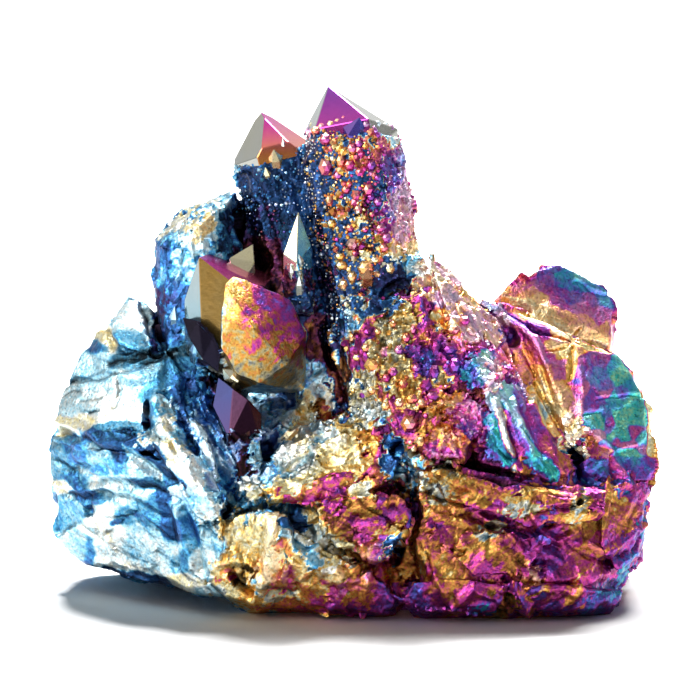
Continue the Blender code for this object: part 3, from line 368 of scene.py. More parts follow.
# Between the points the film is painted near black: painted shade between the parts.
FILM_ZONES["between points"] = [
    (-19.2, 32.6, 1.6, 0.8, 27, 3, -95, -35), (-18.9, 30.9, 1.1, 0.9, 33, 3, -95),
    (-16.9, 29.2, 1.1, 0.7, 60, 4, -95), (-17.3, 25.2, 0.8, 1.9, 24, 4, -95, 20),
    (-15.6, 21.9, 1.2, 1.9, 22, 4, -95, 15), (-14.2, 17, 0.8, 1.1, 22, 4, -95),
    (-12, 31.9, 0.1, 0.1, 30, 0, -95),
]

# How each region broke: layers of chips as (chip size, height, direction of the grain, stretch along it).
DOWN_LEFT, DOWN_RIGHT, UPRIGHT = (-0.7, 0.0, -0.7), (0.6, -0.2, -0.8), (0.1, 0.1, 1.0)
LEVEL, FAN_GRAIN = (1.0, 0.0, -0.2), (0.85, 0.0, -0.5)
RELIEF = {
    "left fan": [(9, 0.25, LEVEL, 1.6), (2.2, 0.04, LEVEL, 3)],
    "left fan, lower": [
        (4.2, 0.36, FAN_GRAIN, 2.4), (1.4, 0.12, FAN_GRAIN, 2.4), (0.7, 0.05, FAN_GRAIN, 2.2),
    ],
    "cream ridge": [(2.6, 0.5, DOWN_RIGHT, 1.8), (1, 0.22, DOWN_RIGHT, 1.8)],
    "blue hollow": [(1.8, 0.4, DOWN_RIGHT, 3.5), (0.8, 0.16, DOWN_RIGHT, 3)],
    "left block": [(2.4, 0.25, UPRIGHT, 1.3), (1.2, 0.25, UPRIGHT, 1.2)],
    "twin": [(1.6, 0.3, UPRIGHT, 1.4), (0.8, 0.15, UPRIGHT, 1.2)],
    "tower, left face": [(1.3, 0.25, UPRIGHT, 1.5)],
    "tower, front": [(1.6, 0.25, UPRIGHT, 1.2)],
    "tower, right face": [(1.5, 0.42, UPRIGHT, 1.8), (0.7, 0.25, UPRIGHT, 1.8)],
    "dark ledge": [(2.4, 0.6, UPRIGHT, 1)],
    "slope": [(1.9, 0.6, DOWN_RIGHT, 1.8), (0.9, 0.24, DOWN_RIGHT, 2)],
    "slope foot": [(2, 0.5, UPRIGHT, 1.3), (0.9, 0.35, UPRIGHT, 1.2)],
    "slope streaks": [(1.5, 0.3, DOWN_RIGHT, 5)],
    "slope base": [(3, 0.45, LEVEL, 2.2)],
    "right plate": [(6, 0.25, UPRIGHT, 1.3), (1.6, 0.06, DOWN_RIGHT, 2)],
    "cream druse": [(1.3, 0.55, UPRIGHT, 1)],
    "back lobe": [(5, 0.2, DOWN_RIGHT, 1.6), (1.1, 0.06, UPRIGHT, 4)],
    "right mass": [(3.6, 0.3, DOWN_LEFT, 2.2), (1.9, 0.17, DOWN_RIGHT, 2.4), (0.8, 0.1, DOWN_LEFT, 2)],
    "dark cleft": [(1.8, 0.6, UPRIGHT, 1)],
    "gold ridge": [(2.4, 0.45, DOWN_LEFT, 1.4), (1, 0.25, LEVEL, 1.2)],
    "centre rock": [(2.8, 0.7, DOWN_LEFT, 1.6), (1.2, 0.25, UPRIGHT, 1.6)],
    "cream lip": [(1.8, 0.4, LEVEL, 1.4)],
    "grey hollow": [(2.6, 0.3, UPRIGHT, 1.6)],
    "magenta lobe": [(2.6, 0.4, LEVEL, 2.6), (1, 0.14, LEVEL, 3)],
    "gold foot": [(3, 0.5, UPRIGHT, 2.2), (1.2, 0.16, UPRIGHT, 2.2)],
    "mottled point": [(1.5, 0.12, UPRIGHT, 1.3)],
    "between points": [(2.4, 0.4, UPRIGHT, 1.8)],
    "back": [(5, 0.9, LEVEL, 1.3), (2.2, 0.3, UPRIGHT, 1.6), (0.9, 0.09, LEVEL, 1.4)],
}

# Crests and cracks drawn on the front: height (negative for a crack), half width, and the line's corners.
LINES = [
    (0.5, 1.1, (-39.6, 22.8), (-36.9, 21.5), (-33.6, 19.9), (-30.3, 19.5), (-26.9, 20.3), (-24.2, 19.2)),
    (-0.8, 1.1, (-39.2, 21), (-35.6, 20.3), (-32.9, 18.6), (-30.3, 18.8), (-26.9, 17), (-23.6, 14.6),
        (-21.3, 13)),
    (-0.35, 0.45, (-37.6, 27.4), (-34.9, 28), (-31.6, 28.8)),
    (-0.35, 0.5, (-32, 30.3), (-28.9, 30.9), (-24.9, 31.7)),
    (-0.3, 0.45, (-31.2, 28.8), (-28.5, 29.6), (-25.6, 30.6), (-23.2, 31.7)),
    (-0.6, 0.7, (-32.5, 34.6), (-31.2, 32.6), (-29.6, 31.7), (-26.9, 31.9)),
    (-0.5, 0.6, (-27.6, 38.1), (-26.6, 35.3), (-25.6, 32.6)),
    (-0.3, 0.5, (-31.2, 28.8), (-30.5, 26.6), (-31.2, 24.6)), (-0.25, 0.35, (-36, 25), (-32.9, 25.8)),
    (-0.25, 0.35, (-34.7, 23.6), (-33.3, 24.2)), (-0.25, 0.35, (-38.1, 25.8), (-36.3, 26.4)),
    (0.3, 1, (-30.7, 28.6), (-28.2, 28.2), (-25.6, 29)), (0.3, 1, (-33.6, 31.9), (-30.9, 31), (-28.2, 31.7)),
    (-0.55, 0.9, (-34.3, 14.8), (-29.6, 14), (-25.6, 13.5), (-22.9, 12.3)),
    (0.4, 1, (-34.3, 15.9), (-29.8, 15.4), (-25.6, 14.8)),
    (-0.6, 0.8, (-39.5, 13), (-35.6, 12.4), (-32.3, 13), (-28.2, 11.9), (-24.9, 9.7)),
    (0.35, 0.8, (-39.5, 13.8), (-35.6, 13.4), (-32, 13.9)),
    (-0.5, 0.7, (-34.8, 11.9), (-34.3, 9.9), (-33.5, 7.6)),
    (0.4, 1, (-33.9, 11.9), (-32, 11.2), (-30.7, 9.9)),
    (-0.6, 0.9, (-24.5, 11.5), (-23.6, 7.9), (-22.9, 3.6)),
    (0.5, 0.9, (-22.9, 11.2), (-21.7, 7.2), (-20.9, 3.6)),
    (-0.7, 0.8, (-21.8, 10.8), (-20.8, 7.2), (-19.7, 3.3)),
    (0.4, 0.9, (-20.2, 11.2), (-19.3, 7.2), (-18.5, 3.2)),
    (0.35, 0.9, (-34.9, 3.9), (-29.6, 3.7), (-24.9, 2.5), (-21.3, 0.8)),
    (-0.4, 0.7, (-38.9, 17.2), (-37.3, 15.9), (-34.9, 16.4)),
    (0.3, 1, (-38.9, 18.6), (-34.9, 17.8), (-30.9, 17), (-26.9, 15.9)),
    (-0.3, 0.7, (-37.6, 7.9), (-34.9, 6.5), (-31.6, 7.6)),
    (0.8, 1.6, (-25.8, 25.8), (-24.9, 22.6), (-22.9, 19.2), (-20.9, 15.9), (-18.6, 13)),
    (-0.9, 0.7, (-24.9, 26.3), (-22.9, 25), (-21.6, 21.2), (-19.6, 17.9), (-17.6, 15.9)),
    (-1.4, 0.9, (-17.3, 15.9), (-15.8, 13.5), (-16.4, 9.7)),
    (-0.4, 0.6, (-26.2, 21), (-23.6, 19.9), (-21.6, 17)),
    (0.5, 0.7, (-20.5, 27.2), (-18.6, 23.9), (-16, 19.2)),
    (-0.6, 0.7, (-19.4, 27.5), (-17.6, 23.9), (-14.9, 18.8)),
    (0.45, 0.7, (-21.6, 26.3), (-20, 22.6), (-17.3, 17.9)),
    (-0.5, 0.7, (-22.1, 25.8), (-20.9, 21.9), (-18.6, 17)),
    (0.5, 0.9, (-23.4, 27.2), (-21.6, 28.2), (-18.9, 27.9)),
    (0.4, 0.6, (-16.9, 19.9), (-15.2, 17.2), (-14.2, 14.8)),
    (0.6, 1, (-10.2, 12.4), (-6.9, 13.1), (-2.9, 14.6), (1.4, 16.2)),
    (-0.7, 0.7, (-9.8, 11.6), (-6.9, 11.9), (-4.2, 13)),
    (0.6, 0.8, (-8.9, 19.1), (-7.1, 21.9), (-5.5, 20.2)),
    (0.5, 0.9, (-12, 15.9), (-8.2, 17.9), (-5.3, 19.2)), (-0.7, 0.7, (-12, 17.9), (-10.2, 17), (-6.9, 18.6)),
    (0.5, 0.8, (-9.5, 21.9), (-7.4, 23.6), (-6.2, 25.2)),
    (-0.6, 0.7, (-6.9, 23.9), (-4.9, 22.6), (-2.2, 23.2)), (0.4, 0.8, (3.1, 21), (3.8, 18.8), (2.7, 16.4)),
    (1, 1.6, (-9.8, 10.3), (-10.2, 6.5), (-11.4, 1.5)),
    (0.7, 1, (-8.7, 9.2), (-7.1, 5.9), (-4.5, 3.6), (-0.9, 2.5), (1.4, 3.9), (2.7, 6.5)),
    (-0.5, 0.7, (-12, 3.9), (-10.9, 0.5), (-6.9, 0.1)), (-0.35, 0.6, (-8.5, 5.5), (-7.8, 2.5), (-6.9, 0.5)),
    (0.5, 0.9, (-17.3, 3.6), (-14.9, 4.4), (-12.5, 3.6)), (0.4, 1, (-16, 9.2), (-13.6, 10.3), (-12, 9.2)),
    (0.5, 0.9, (-1.5, 8.9), (0.1, 11.1), (2.7, 11.9), (5.8, 12.2), (7.5, 10.8)),
    (-0.5, 0.7, (8.2, 13.2), (8.7, 10.6), (7.7, 7.9), (6.3, 5.7)),
    (-0.35, 0.6, (-0.9, 10.3), (2.5, 10.3), (5.4, 9.2)),
    (0.5, 0.8, (-2.9, 5.9), (-0.2, 6.5), (3.8, 6.5), (7.1, 7.9)),
    (-0.6, 0.7, (-2.2, 12.6), (1.8, 13.5), (6.5, 13.5)), (0.5, 0.8, (1.4, -0.1), (2.7, 3.2), (3.5, 6.5)),
    (-0.5, 0.6, (4.5, 3.9), (5.4, -0.1), (6.5, -2.3)), (0.5, 0.8, (-2.9, 1.9), (-0.2, 1.7), (1.9, 2.5)),
    (-0.9, 0.8, (8.6, 18.8), (11.8, 17.5), (15.8, 16.4), (19.8, 14.8)),
    (0.6, 0.8, (8.1, 17), (11.8, 15.4), (15.6, 13.6)), (-0.5, 0.7, (9.8, 13.5), (11.8, 12.7), (14.8, 13.2)),
    (0.4, 0.8, (11.8, 15.9), (15.8, 14.8), (19.8, 13.5), (23.8, 14.8)),
    (-0.6, 0.6, (15.8, 10.3), (18.1, 8.9), (19.8, 8.1), (21.8, 9.5), (23.8, 10.7), (26.5, 11.1),
        (29.2, 11.9)),
    (0.5, 0.9, (13.8, 11.2), (17.2, 11.9), (20.5, 10.8)), (0.4, 0.7, (16.9, 9.2), (18.5, 10), (20.5, 9.2)),
    (0.6, 0.7, (23.4, 10.6), (24.4, 8.7), (26.5, 7.1), (28.6, 7.9)),
    (-0.4, 0.6, (22.9, 9.2), (24.5, 7.3), (27.2, 5.9)),
    (0.5, 0.7, (20.5, 7.9), (22.5, 5.5), (24.5, 5.9), (26.8, 4.4)),
    (0.5, 0.9, (19.2, 5.9), (21.4, 3.9), (23.8, 2.3)), (0.9, 0.9, (20.6, 2.5), (21.7, -0.1), (23.8, -3.3)),
    (-0.5, 0.6, (19.8, 2.3), (20.6, -0.8), (22, -3.3)), (0.6, 0.8, (13.4, -1.7), (15.8, 1.1), (18.8, -0.4)),
    (-0.4, 0.6, (18.2, -0.9), (19.8, 0.5), (20.6, -1.5)),
    (0.6, 0.8, (29.8, 6.5), (33.2, 5.5), (36.1, 7.1), (38.5, 9.2)),
    (-0.4, 0.7, (30.3, 5.2), (33.5, 4.4), (36.5, 5.5)),
    (0.5, 0.9, (29.2, 0.5), (31.9, 2.3), (34.8, 3.6), (37.5, 5.2)),
    (-0.4, 0.8, (31.2, -0.4), (33.9, 0.9), (36.5, 0.5)),
    (0.5, 0.8, (28.9, 12.6), (30.5, 15.9), (33.2, 17.5)), (0.4, 0.7, (32.9, 15.9), (34, 13.2), (33.2, 10.6)),
    (-0.4, 0.6, (34, 17.9), (34.8, 15.2), (34.3, 11.9)),
    (0.4, 0.8, (35.6, 15.9), (37.2, 13.2), (36.1, 10.6)), (0.4, 0.9, (9.8, 9.2), (13.2, 10.3), (15.8, 8.9)),
    (0.4, 0.8, (8.5, 5.9), (11.8, 5.5), (14.5, 6.5)), (-0.4, 0.6, (9.1, 6.5), (10.5, 3.2), (9.8, -0.1)),
    (0.4, 0.7, (10.8, 3.2), (11.8, 0.5), (13.2, -1.7)), (0.4, 0.8, (27.8, -1.5), (29.8, 0.9), (29.4, 3.2)),
    (0.4, 0.8, (25.2, 3.9), (26.5, 1.9), (28.5, 0.5)),
    (-1.4, 0.8, (20.8, 34.1), (21.7, 31.7), (22.6, 29), (23.7, 26.6)),
    (-0.4, 0.4, (25.8, 31.7), (28.4, 32.5), (30.3, 34.6)), (-0.4, 0.4, (28.9, 32.2), (28.6, 28.2)),
    (-0.7, 0.6, (20.2, 37.3), (24.5, 34.5), (27.8, 33.5), (34, 31.8)),
    (0.4, 0.7, (20.2, 36.2), (24.2, 33.4), (25.8, 31.7)),
    (-0.25, 0.4, (32.1, 25.2), (34.5, 25.8), (38.5, 25.8)),
    (-0.25, 0.4, (30.5, 23.5), (32.9, 23.6), (34, 21.8)),
    (0.5, 0.8, (31.1, 22.8), (33.2, 19.9), (35.1, 17), (36.1, 14.3)),
    (0.3, 1.2, (23.8, 33.3), (26.2, 29.2), (27.8, 25.2)),
    (0.3, 1.2, (29.8, 31.7), (31.2, 27.2), (30.5, 23.9)),
    (-0.6, 0.7, (24.2, 27.2), (25.2, 24.6), (26.2, 22.6)),
    (0.4, 0.6, (27.8, 15.9), (31.9, 17.9), (33.2, 18.3)),
    (0.25, 1.2, (19.8, 39.1), (25.2, 37.8), (29.8, 35.7), (33.7, 33.5)),
    (-0.3, 0.5, (29.8, 40.9), (31.9, 39.7), (34, 39.1)), (0.7, 0.8, (9.1, 38.9), (9.7, 33.9), (10.5, 29)),
    (0.5, 0.6, (18.8, 25.2), (20, 21.2), (20.9, 17.8)), (-0.4, 0.5, (19.8, 25), (20.9, 21.2), (21.8, 17.8)),
    (0.5, 0.6, (21.2, 25.5), (22.2, 21.9), (23.8, 17.9)),
    (-0.4, 0.5, (22.5, 24.6), (23.8, 21.2), (25.2, 17.9)),
    (0.5, 0.7, (23.6, 24.6), (25.2, 21), (27.3, 15.9)),
    (0.5, 0.8, (10.5, 18.3), (14.5, 18.3), (18.5, 17), (22.5, 16.4), (25.8, 15.1)),
    (0.4, 0.6, (19.8, 15.9), (21.4, 17.5), (23.3, 15.9)),
    (-1.8, 0.55, (-15.6, 2.5), (-14.5, 1.2), (-13, 0.1)),
]

# Hollows pressed into the front: across, up, half length, half width, turn in degrees, depth.
HOLLOWS = [
    (-26.8, 23.5, 0.6, 1.9, 0, 1.8), (-19.6, 24.6, 1.9, 2.9, 25, 0.9), (-20.9, 19.9, 0.5, 1.9, 20, 0.8),
    (-6.5, 10.3, 2.4, 1.3, -5, 1.3), (-6.2, 7.5, 1.6, 1.9, -20, 1.2), (-2.2, 5.5, 2.1, 0.9, -10, 0.8),
    (6.1, 5.5, 0.9, 1.9, -12, 3.2), (5.8, 19, 0.8, 1.3, 0, 2.6), (6.5, 15.2, 1.3, 1.9, 0, 1.2),
    (29.6, 18, 1.2, 1.2, 0, 2.6), (29.8, 12.3, 0.5, 0.4, 0, 1.3), (-6.9, 17, 2.4, 0.7, 20, 0.7),
    (-11.4, 18.6, 1.1, 1.6, 0, 1), (-16.2, 11.2, 0.7, 1.7, -8, 1.6), (-14.8, 10.8, 0.5, 0.7, 0, 0.5),
    (-9.3, 11.2, 1.9, 0.7, -8, 1), (27.8, 19.2, 1.1, 0.8, 0, 0.8), (20.5, 31.9, 0.5, 2.1, 20, 1.4),
    (-14.9, 48.6, 0.8, 3.5, -4, 2.2), (-12, 43.7, 1.6, 2.1, 10, 0.8), (-2.9, 32.6, 1.1, 3.5, 12, 1.4),
    (5.1, 39.9, 2.1, 0.9, 38, 1.1), (13.8, 16.8, 2.4, 0.5, -15, 0.8), (19.6, -2, 0.8, 0.8, 0, 0.7),
    (-25.6, 31.9, 1.1, 1.1, 0, 1), (10.5, 32.6, 0.8, 1.3, 0, 0.3), (25.8, 9.2, 0.8, 0.5, 0, 0.6),
    (-0.9, 11.9, 0.8, 0.7, 0, 0.4),
]

# ------ numbers for natural variation
# One table of random numbers feeds every pattern. Each pattern reads it from its own channel, a whole number
# that shifts the place in the table, so that no two follow each other.
TABLE_SIDE, NUMBERS_EACH, TABLE_SEED = 64, 6, 20
CHANNEL_STEPS = (7, 19, 31)
RANDOM = np.random.default_rng(TABLE_SEED).random((TABLE_SIDE,) * 3 + (NUMBERS_EACH,)).astype(np.float32)
RANDOM_ONE = np.ascontiguousarray(RANDOM[..., 0])


def scattered(table, cells, channel):
    """Repeatable random numbers, 0 to 1, for each row of whole numbers."""
    x, y, z = ((cells[:, axis] + channel * step) % TABLE_SIDE for axis, step in enumerate(CHANNEL_STEPS))
    return table[x, y, z]


def fade(part):
    """0 to 1 across a cell, by the usual quintic curve, which leaves no crease between cells."""
    return part * part * part * (part * (part * 6.0 - 15.0) + 10.0)


def swells(points, size, channel):
    """Smooth noise from -1 to 1, whose waves are about size across."""
    place = points / size
    corner = np.floor(place).astype(np.int64)
    part = fade(place - corner)
    shares = (1.0 - part, part)
    total = np.zeros(len(points))
    for step in itertools.product((0, 1), repeat=3):
        share = shares[step[0]][:, 0] * shares[step[1]][:, 1] * shares[step[2]][:, 2]
        total += share * scattered(RANDOM_ONE, corner + np.array(step), channel)
    return 2.0 * total - 1.0


def layered(points, size, channel, layers=3):
    """Swells with finer and weaker swells on them, -1 to 1."""
    total = sum(0.5**k * swells(points, size * 0.5**k, channel + k) for k in range(layers))
    return total / (2.0 - 0.5 ** (layers - 1))


def bent(points, amount, size, channels, pattern=swells):
    """Points pushed about by up to amount, which gives what is drawn on them uneven outlines."""
    return points + amount * np.stack([pattern(points, size, channel) for channel in channels], axis=1)


def two_layers(points, size, channel):
    """Swells with one layer of finer swells on them."""
    return layered(points, size, channel, 2)


NOT_ALONG_ANY_GRAIN = (0.3, 0.9, 0.2)


def grain_axes(along):
    """Three directions at right angles, the first along the grain."""
    first = np.array(along) / np.linalg.norm(along)
    second = np.cross(first, NOT_ALONG_ANY_GRAIN)
    second /= np.linalg.norm(second)
    return np.stack([first, second, np.cross(first, second)], axis=1)


# In parts of a chip's size: how far its outline wanders and how long the waves of that are, how wide the
# break between two chips and the rim along it are, and the squared distance at which a chip's bowl is level.
CHIP_WANDER, WANDER_SIZE, WANDER_CHANNELS = 0.35, 0.9, (11, 12, 13)
CHIP_BREAK, CHIP_RIM, BOWL_LEVEL = 0.07, 0.22, 0.25
NO_CHIP_YET = 9.0


def chips(points, size, channel, along, stretch):
    """Broken facets: the slope of each point's chip, how bowl-shaped it is, its lean, and 1 at its edge."""
    place = points @ grain_axes(along) / (size * np.array([stretch, 1.0, 1.0]))
    place = bent(place, CHIP_WANDER, WANDER_SIZE, [channel + step for step in WANDER_CHANNELS])
    home = np.floor(place).astype(np.int64)
    part = place - home
    nearest = np.full((2, len(points)), NO_CHIP_YET)
    slope = np.zeros((2, len(points)))
    own_lean = np.zeros((3, len(points)))
    for step in itertools.product((-1, 0, 1), repeat=3):
        chance = scattered(RANDOM, home + np.array(step), channel).T
        away = [part[:, k] - step[k] - chance[k] for k in range(3)]
        lean = [2.0 * chance[3 + k] - 1.0 for k in range(3)]
        distance = sum(gap * gap for gap in away)
        height = sum(gap * tilt for gap, tilt in zip(away, lean))
        closer = distance < nearest[0]
        second = ~closer & (distance < nearest[1])
        for kept, new in ((nearest, distance), (slope, height)):
            kept[1] = np.where(closer, kept[0], np.where(second, new, kept[1]))
            kept[0] = np.where(closer, new, kept[0])
        own_lean = np.where(closer, lean, own_lean)
    reach = np.sqrt(nearest)
    gap = reach[1] - reach[0]
    border = np.clip(gap / CHIP_BREAK, 0.0, 1.0)
    level = slope[0] * (0.5 + 0.5 * border) + slope[1] * (0.5 - 0.5 * border)
    return level, nearest[0] - BOWL_LEVEL, own_lean, np.clip(1.0 - gap / CHIP_RIM, 0.0, 1.0)


# ------ places on the front
FAR_AWAY = 1e9
LEAST_RISE = 1e-9


def on_front(points):
    """(across, up) of points in the cluster's frame."""
    return np.stack([points[:, 0], points @ UP_FRONT], axis=1)


def in_ellipse(spots, across, up, half_length, half_width, turn=0):
    """Squared distance from an ellipse's middle, 1 on its outline."""
    angle = math.radians(turn)
    x, y = spots[:, 0] - across, spots[:, 1] - up
    along = (x * math.cos(angle) + y * math.sin(angle)) / half_length
    aside = (y * math.cos(angle) - x * math.sin(angle)) / half_width
    return along * along + aside * aside


def from_line(spots, line):
    """Distance of spots from a line through several corners."""
    nearest = np.full(len(spots), FAR_AWAY)
    for start, end in zip(line[:-1], line[1:]):
        start, step = np.array(start), np.array(end) - np.array(start)
        share = np.clip(((spots - start) @ step) / (step @ step), 0.0, 1.0)
        gap = spots - start - share[:, None] * step
        nearest = np.minimum(nearest, (gap * gap).sum(axis=1))
    return np.sqrt(nearest)


def inside(spots, outline):
    """Whether spots lie inside a closed outline."""
    within = np.zeros(len(spots), bool)
    for (x0, y0), (x1, y1) in zip(outline, outline[1:] + outline[:1]):
        crosses = (y0 > spots[:, 1]) != (y1 > spots[:, 1])
        rise = (y1 - y0) if y1 != y0 else LEAST_RISE
        within ^= crosses & (spots[:, 0] < x0 + (spots[:, 1] - y0) / rise * (x1 - x0))
    return within


def smooth_step(low, high, values):
    """0 at low, 1 at high, and a soft rise between them."""
    share = np.clip((values - low) / (high - low), 0.0, 1.0)
    return share * share * (3.0 - 2.0 * share)


# On calm faces one film runs softly into the next. Elsewhere chips carry it along: (size, reach).
CALM = {"left fan", "left fan, lower", "right plate", "back lobe", "mottled point", "twin", "slope streaks"}
CARRIED = [(1.5, 0.75), (0.55, 0.45)]
CARRIED_CHANNEL, CARRIED_STRETCH = 2101, 1.8
# How fast a zone gives way past its outline, where in it that starts, and how far past it the zone is felt.
CALM_FALL_OFF, BROKEN_FALL_OFF, ZONE_EDGE, ZONE_REACH = 4.4, 9.0, 0.8, 1.7
BORDER_WANDER, BORDER_SIZE, BORDER_CHANNELS = 0.55, 2.2, (101, 131, 161)
# A face belongs to the front from the first of these turns towards it, and wholly from the second.
TURNS_TO_FRONT = (-0.25, 0.12)
BACK_SHARE, BACK_SHARE_BEHIND = 1e-8, 20.0
# The back's film: blue at the left, gold and magenta at the right, changing between two places across, in
# slow tides given as (amount, size, channel).
BACK_FILM, BACK_RISE, BACK_CHANGES, BACK_SPREAD = 0.50, 0.27, (-13.0, 3.0), 0.05
BACK_TIDES = ((0.08, 16.0, 201), (0.05, 5.0, 231))
TIDE_LEFT, TIDE_MORE_RIGHT = 0.8, 0.9
CHANGE_WANDER = (5.0, 11.0, 261)
BACK_LIGHT, BACK_PATCHES = -0.28, (0.15, 6.0, 291)


def back_film(points):
    """Film thickness, variation and paleness on the back."""
    tide = sum(amount * layered(points, size, channel) for amount, size, channel in BACK_TIDES)
    amount, size, channel = CHANGE_WANDER
    side = smooth_step(*BACK_CHANGES, points[:, 0] + amount * swells(points, size, channel))
    film = BACK_FILM + BACK_RISE * side + tide * (TIDE_LEFT + TIDE_MORE_RIGHT * side)
    amount, size, channel = BACK_PATCHES
    light = amount * layered(points, size, channel) + BACK_LIGHT
    return np.stack([film, np.full(len(points), BACK_SPREAD), light])


def region_shares(points, normals, regions=FILM_ZONES):
    """Each region's share of each point, and the film's thickness, variation and paleness there."""
    moved = bent(points, BORDER_WANDER, BORDER_SIZE, BORDER_CHANNELS, two_layers)
    calm_spots = on_front(moved)
    for size, reach in CARRIED:
        moved = moved + reach * chips(points, size, CARRIED_CHANNEL, DOWN_LEFT, CARRIED_STRETCH)[2].T
    broken_spots = on_front(moved)
    facing = smooth_step(*TURNS_TO_FRONT, normals @ TO_FRONT)
    shares, totals = {}, np.zeros((3, len(points)))
    for region in regions:
        share = np.zeros(len(points))
        spots, fall_off = (calm_spots, CALM_FALL_OFF) if region in CALM else (broken_spots, BROKEN_FALL_OFF)
        for across, up, half_length, half_width, film, spread, light, *turn in FILM_ZONES[region]:
            reach = ZONE_REACH * max(half_length, half_width)
            near = np.flatnonzero((abs(spots[:, 0] - across) < reach) & (abs(spots[:, 1] - up) < reach))
            away = in_ellipse(spots[near], across, up, half_length, half_width, *turn)
            weight = np.exp(fall_off * (ZONE_EDGE - away)) * facing[near]
            share[near] += weight
            totals[:, near] += weight * (np.array([[film], [spread], [light]]) / HUNDREDTHS)
        shares[region] = share
    shares["back"] = BACK_SHARE + BACK_SHARE_BEHIND * (1.0 - facing)
    totals += shares["back"] * back_film(points)
    whole = sum(shares.values())
    return {region: share / whole for region, share in shares.items()}, totals / whole


# ------ quartz points with clean faces
TIP_FACE_ANGLE = math.radians(51.8)
PRISM_SIDES = 6
COPLANAR = math.radians(2.0)

# Whole points: foot, tip, width across flats, turn, how far each tip face is lifted off the tip, and the
# length from the tip that is bare of druse.
POINTS = {
    "twin": ((0, 0, 18), (-12, 9, 63), 9.4, 106, (0, 0.6, 0, 0.5, 0, 0.6), 7.6),
    "back_point": ((3, 9, 14), (3.5, 17.5, 46), 8.6, 80, (0, 0.8, 0, 0.6, 0.2, 0.9), 24),
    "back_short_point": ((-8, 10, 16), (-13, 19, 42), 7.4, 95, (0.2, 0, 0.8, 0, 0.5, 0), 19),
    "back_low_point": ((24, 10, 10), (29, 20.5, 30), 6.6, 70, (0, 0.7, 0, 0.9, 0, 0.4), 15),
    "back_left_point": ((-22, 8, 14), (-28.5, 18.5, 29.5), 6.8, 100, (0, 0.5, 0.9, 0, 0.3, 0), 12),
}

# Points cut short or overgrown, by their corners.
CUT_POINTS = {
    "tower_tip": [
        (-3.1, 5.5, 67), (-6.3, 5.5, 61), (-4.9, 0.3, 61.9), (2.2, -1.3, 63.5), (6.2, 3.8, 61.4),
        (4, 10, 60.5), (-3.5, 11, 60.5), (-5.6, 4.8, 58), (-4.2, -0.3, 58.5), (2.8, -1.8, 59.5),
        (6, 3.2, 58), (4.4, 9.2, 57.5), (-2.8, 10.2, 57.5),
    ],
    "mottled_point": [
        (-16.5, -11, 43), (-15.5, -9, 43.8), (-13.5, -9, 43.2), (-8, -8, 40.5), (-6, -9, 36),
        (-8.5, -12, 32.5), (-12, -14, 30.5), (-15, -13, 31.5), (-17, -12, 35), (-17, -12, 39),
        (-12.5, -14.5, 37.5), (-15, -2, 42), (-7, -2, 37), (-6, -2, 27), (-16, -2, 27),
    ],
    "front_prism": [
        (-20, -7, 46), (-18, 1, 45.5), (-10.5, 2, 42), (-11.5, -6, 42), (-15.5, -10, 43), (-22, -5, 40),
        (-22, -5, 33), (-19.5, -9, 32), (-18, -10, 31), (-14, -10, 30), (-10, -4, 30), (-20, 3, 34),
        (-11.5, 4, 34), (-21, 2, 42),
    ],
    "pale_point": [
        (-7, -3, 51.5), (-9, -4.5, 46), (-5.3, -3.5, 47), (-7.2, -6, 45), (-6.5, 5, 44), (-9, -3.5, 38),
        (-5, -3.5, 38), (-7, 5, 36),
    ],
    "blade": [
        (-16.2, -1.5, 45), (-13, 0, 46.7), (-12.8, -1.5, 44.5), (-15, -3.5, 41), (-13, 3, 44.5),
        (-16, 3, 40), (-12.5, 0, 38),
    ],
    "violet_point": [
        (-17.5, -9.5, 30.5), (-15.5, -11.5, 29.3), (-13.5, -12.5, 28), (-11.8, -12, 26), (-11.8, -14, 22.5),
        (-12.5, -14.5, 17), (-14, -14, 17.5), (-16, -14, 23), (-18.2, -11.5, 27), (-16, -2, 29),
        (-11.8, -2, 25), (-13, -4, 16),
    ],
    "dark_plate": [
        (-22.2, -7, 38), (-20, -9.5, 38), (-18, -11, 36.3), (-17, -11.5, 34), (-17.5, -11.5, 31.5),
        (-19.5, -10.5, 33), (-21.3, -8.5, 35.5), (-21.5, -2, 36), (-17.5, -3, 30),
    ],
    # A plug that closes a gap between the left block and the fan, painted near black as the shade that falls
    # there.
    "dark_seam": [
        (-27.4, 0.5, 31), (-23.4, 0.5, 31), (-26.6, 0.5, 35.6), (-23.6, 0.5, 36.4), (-27.4, 4, 31),
        (-23.4, 4, 31), (-26.6, 4, 35.4), (-23.6, 4, 36.2),
    ],
}

# Heights below which druse and rock hide the point, at its middle, and how much they rise to the right.
HIDDEN_BELOW = {
    "tower_tip": (61.9, -0.12), "twin": (57.9, 0.25), "pale_point": (44.8, 0.0), "violet_point": (24.6, 0.0),
    "front_prism": (33.5, 0.0), "blade": (44.0, -0.26),
}
UNEVEN_EDGE = 0.9
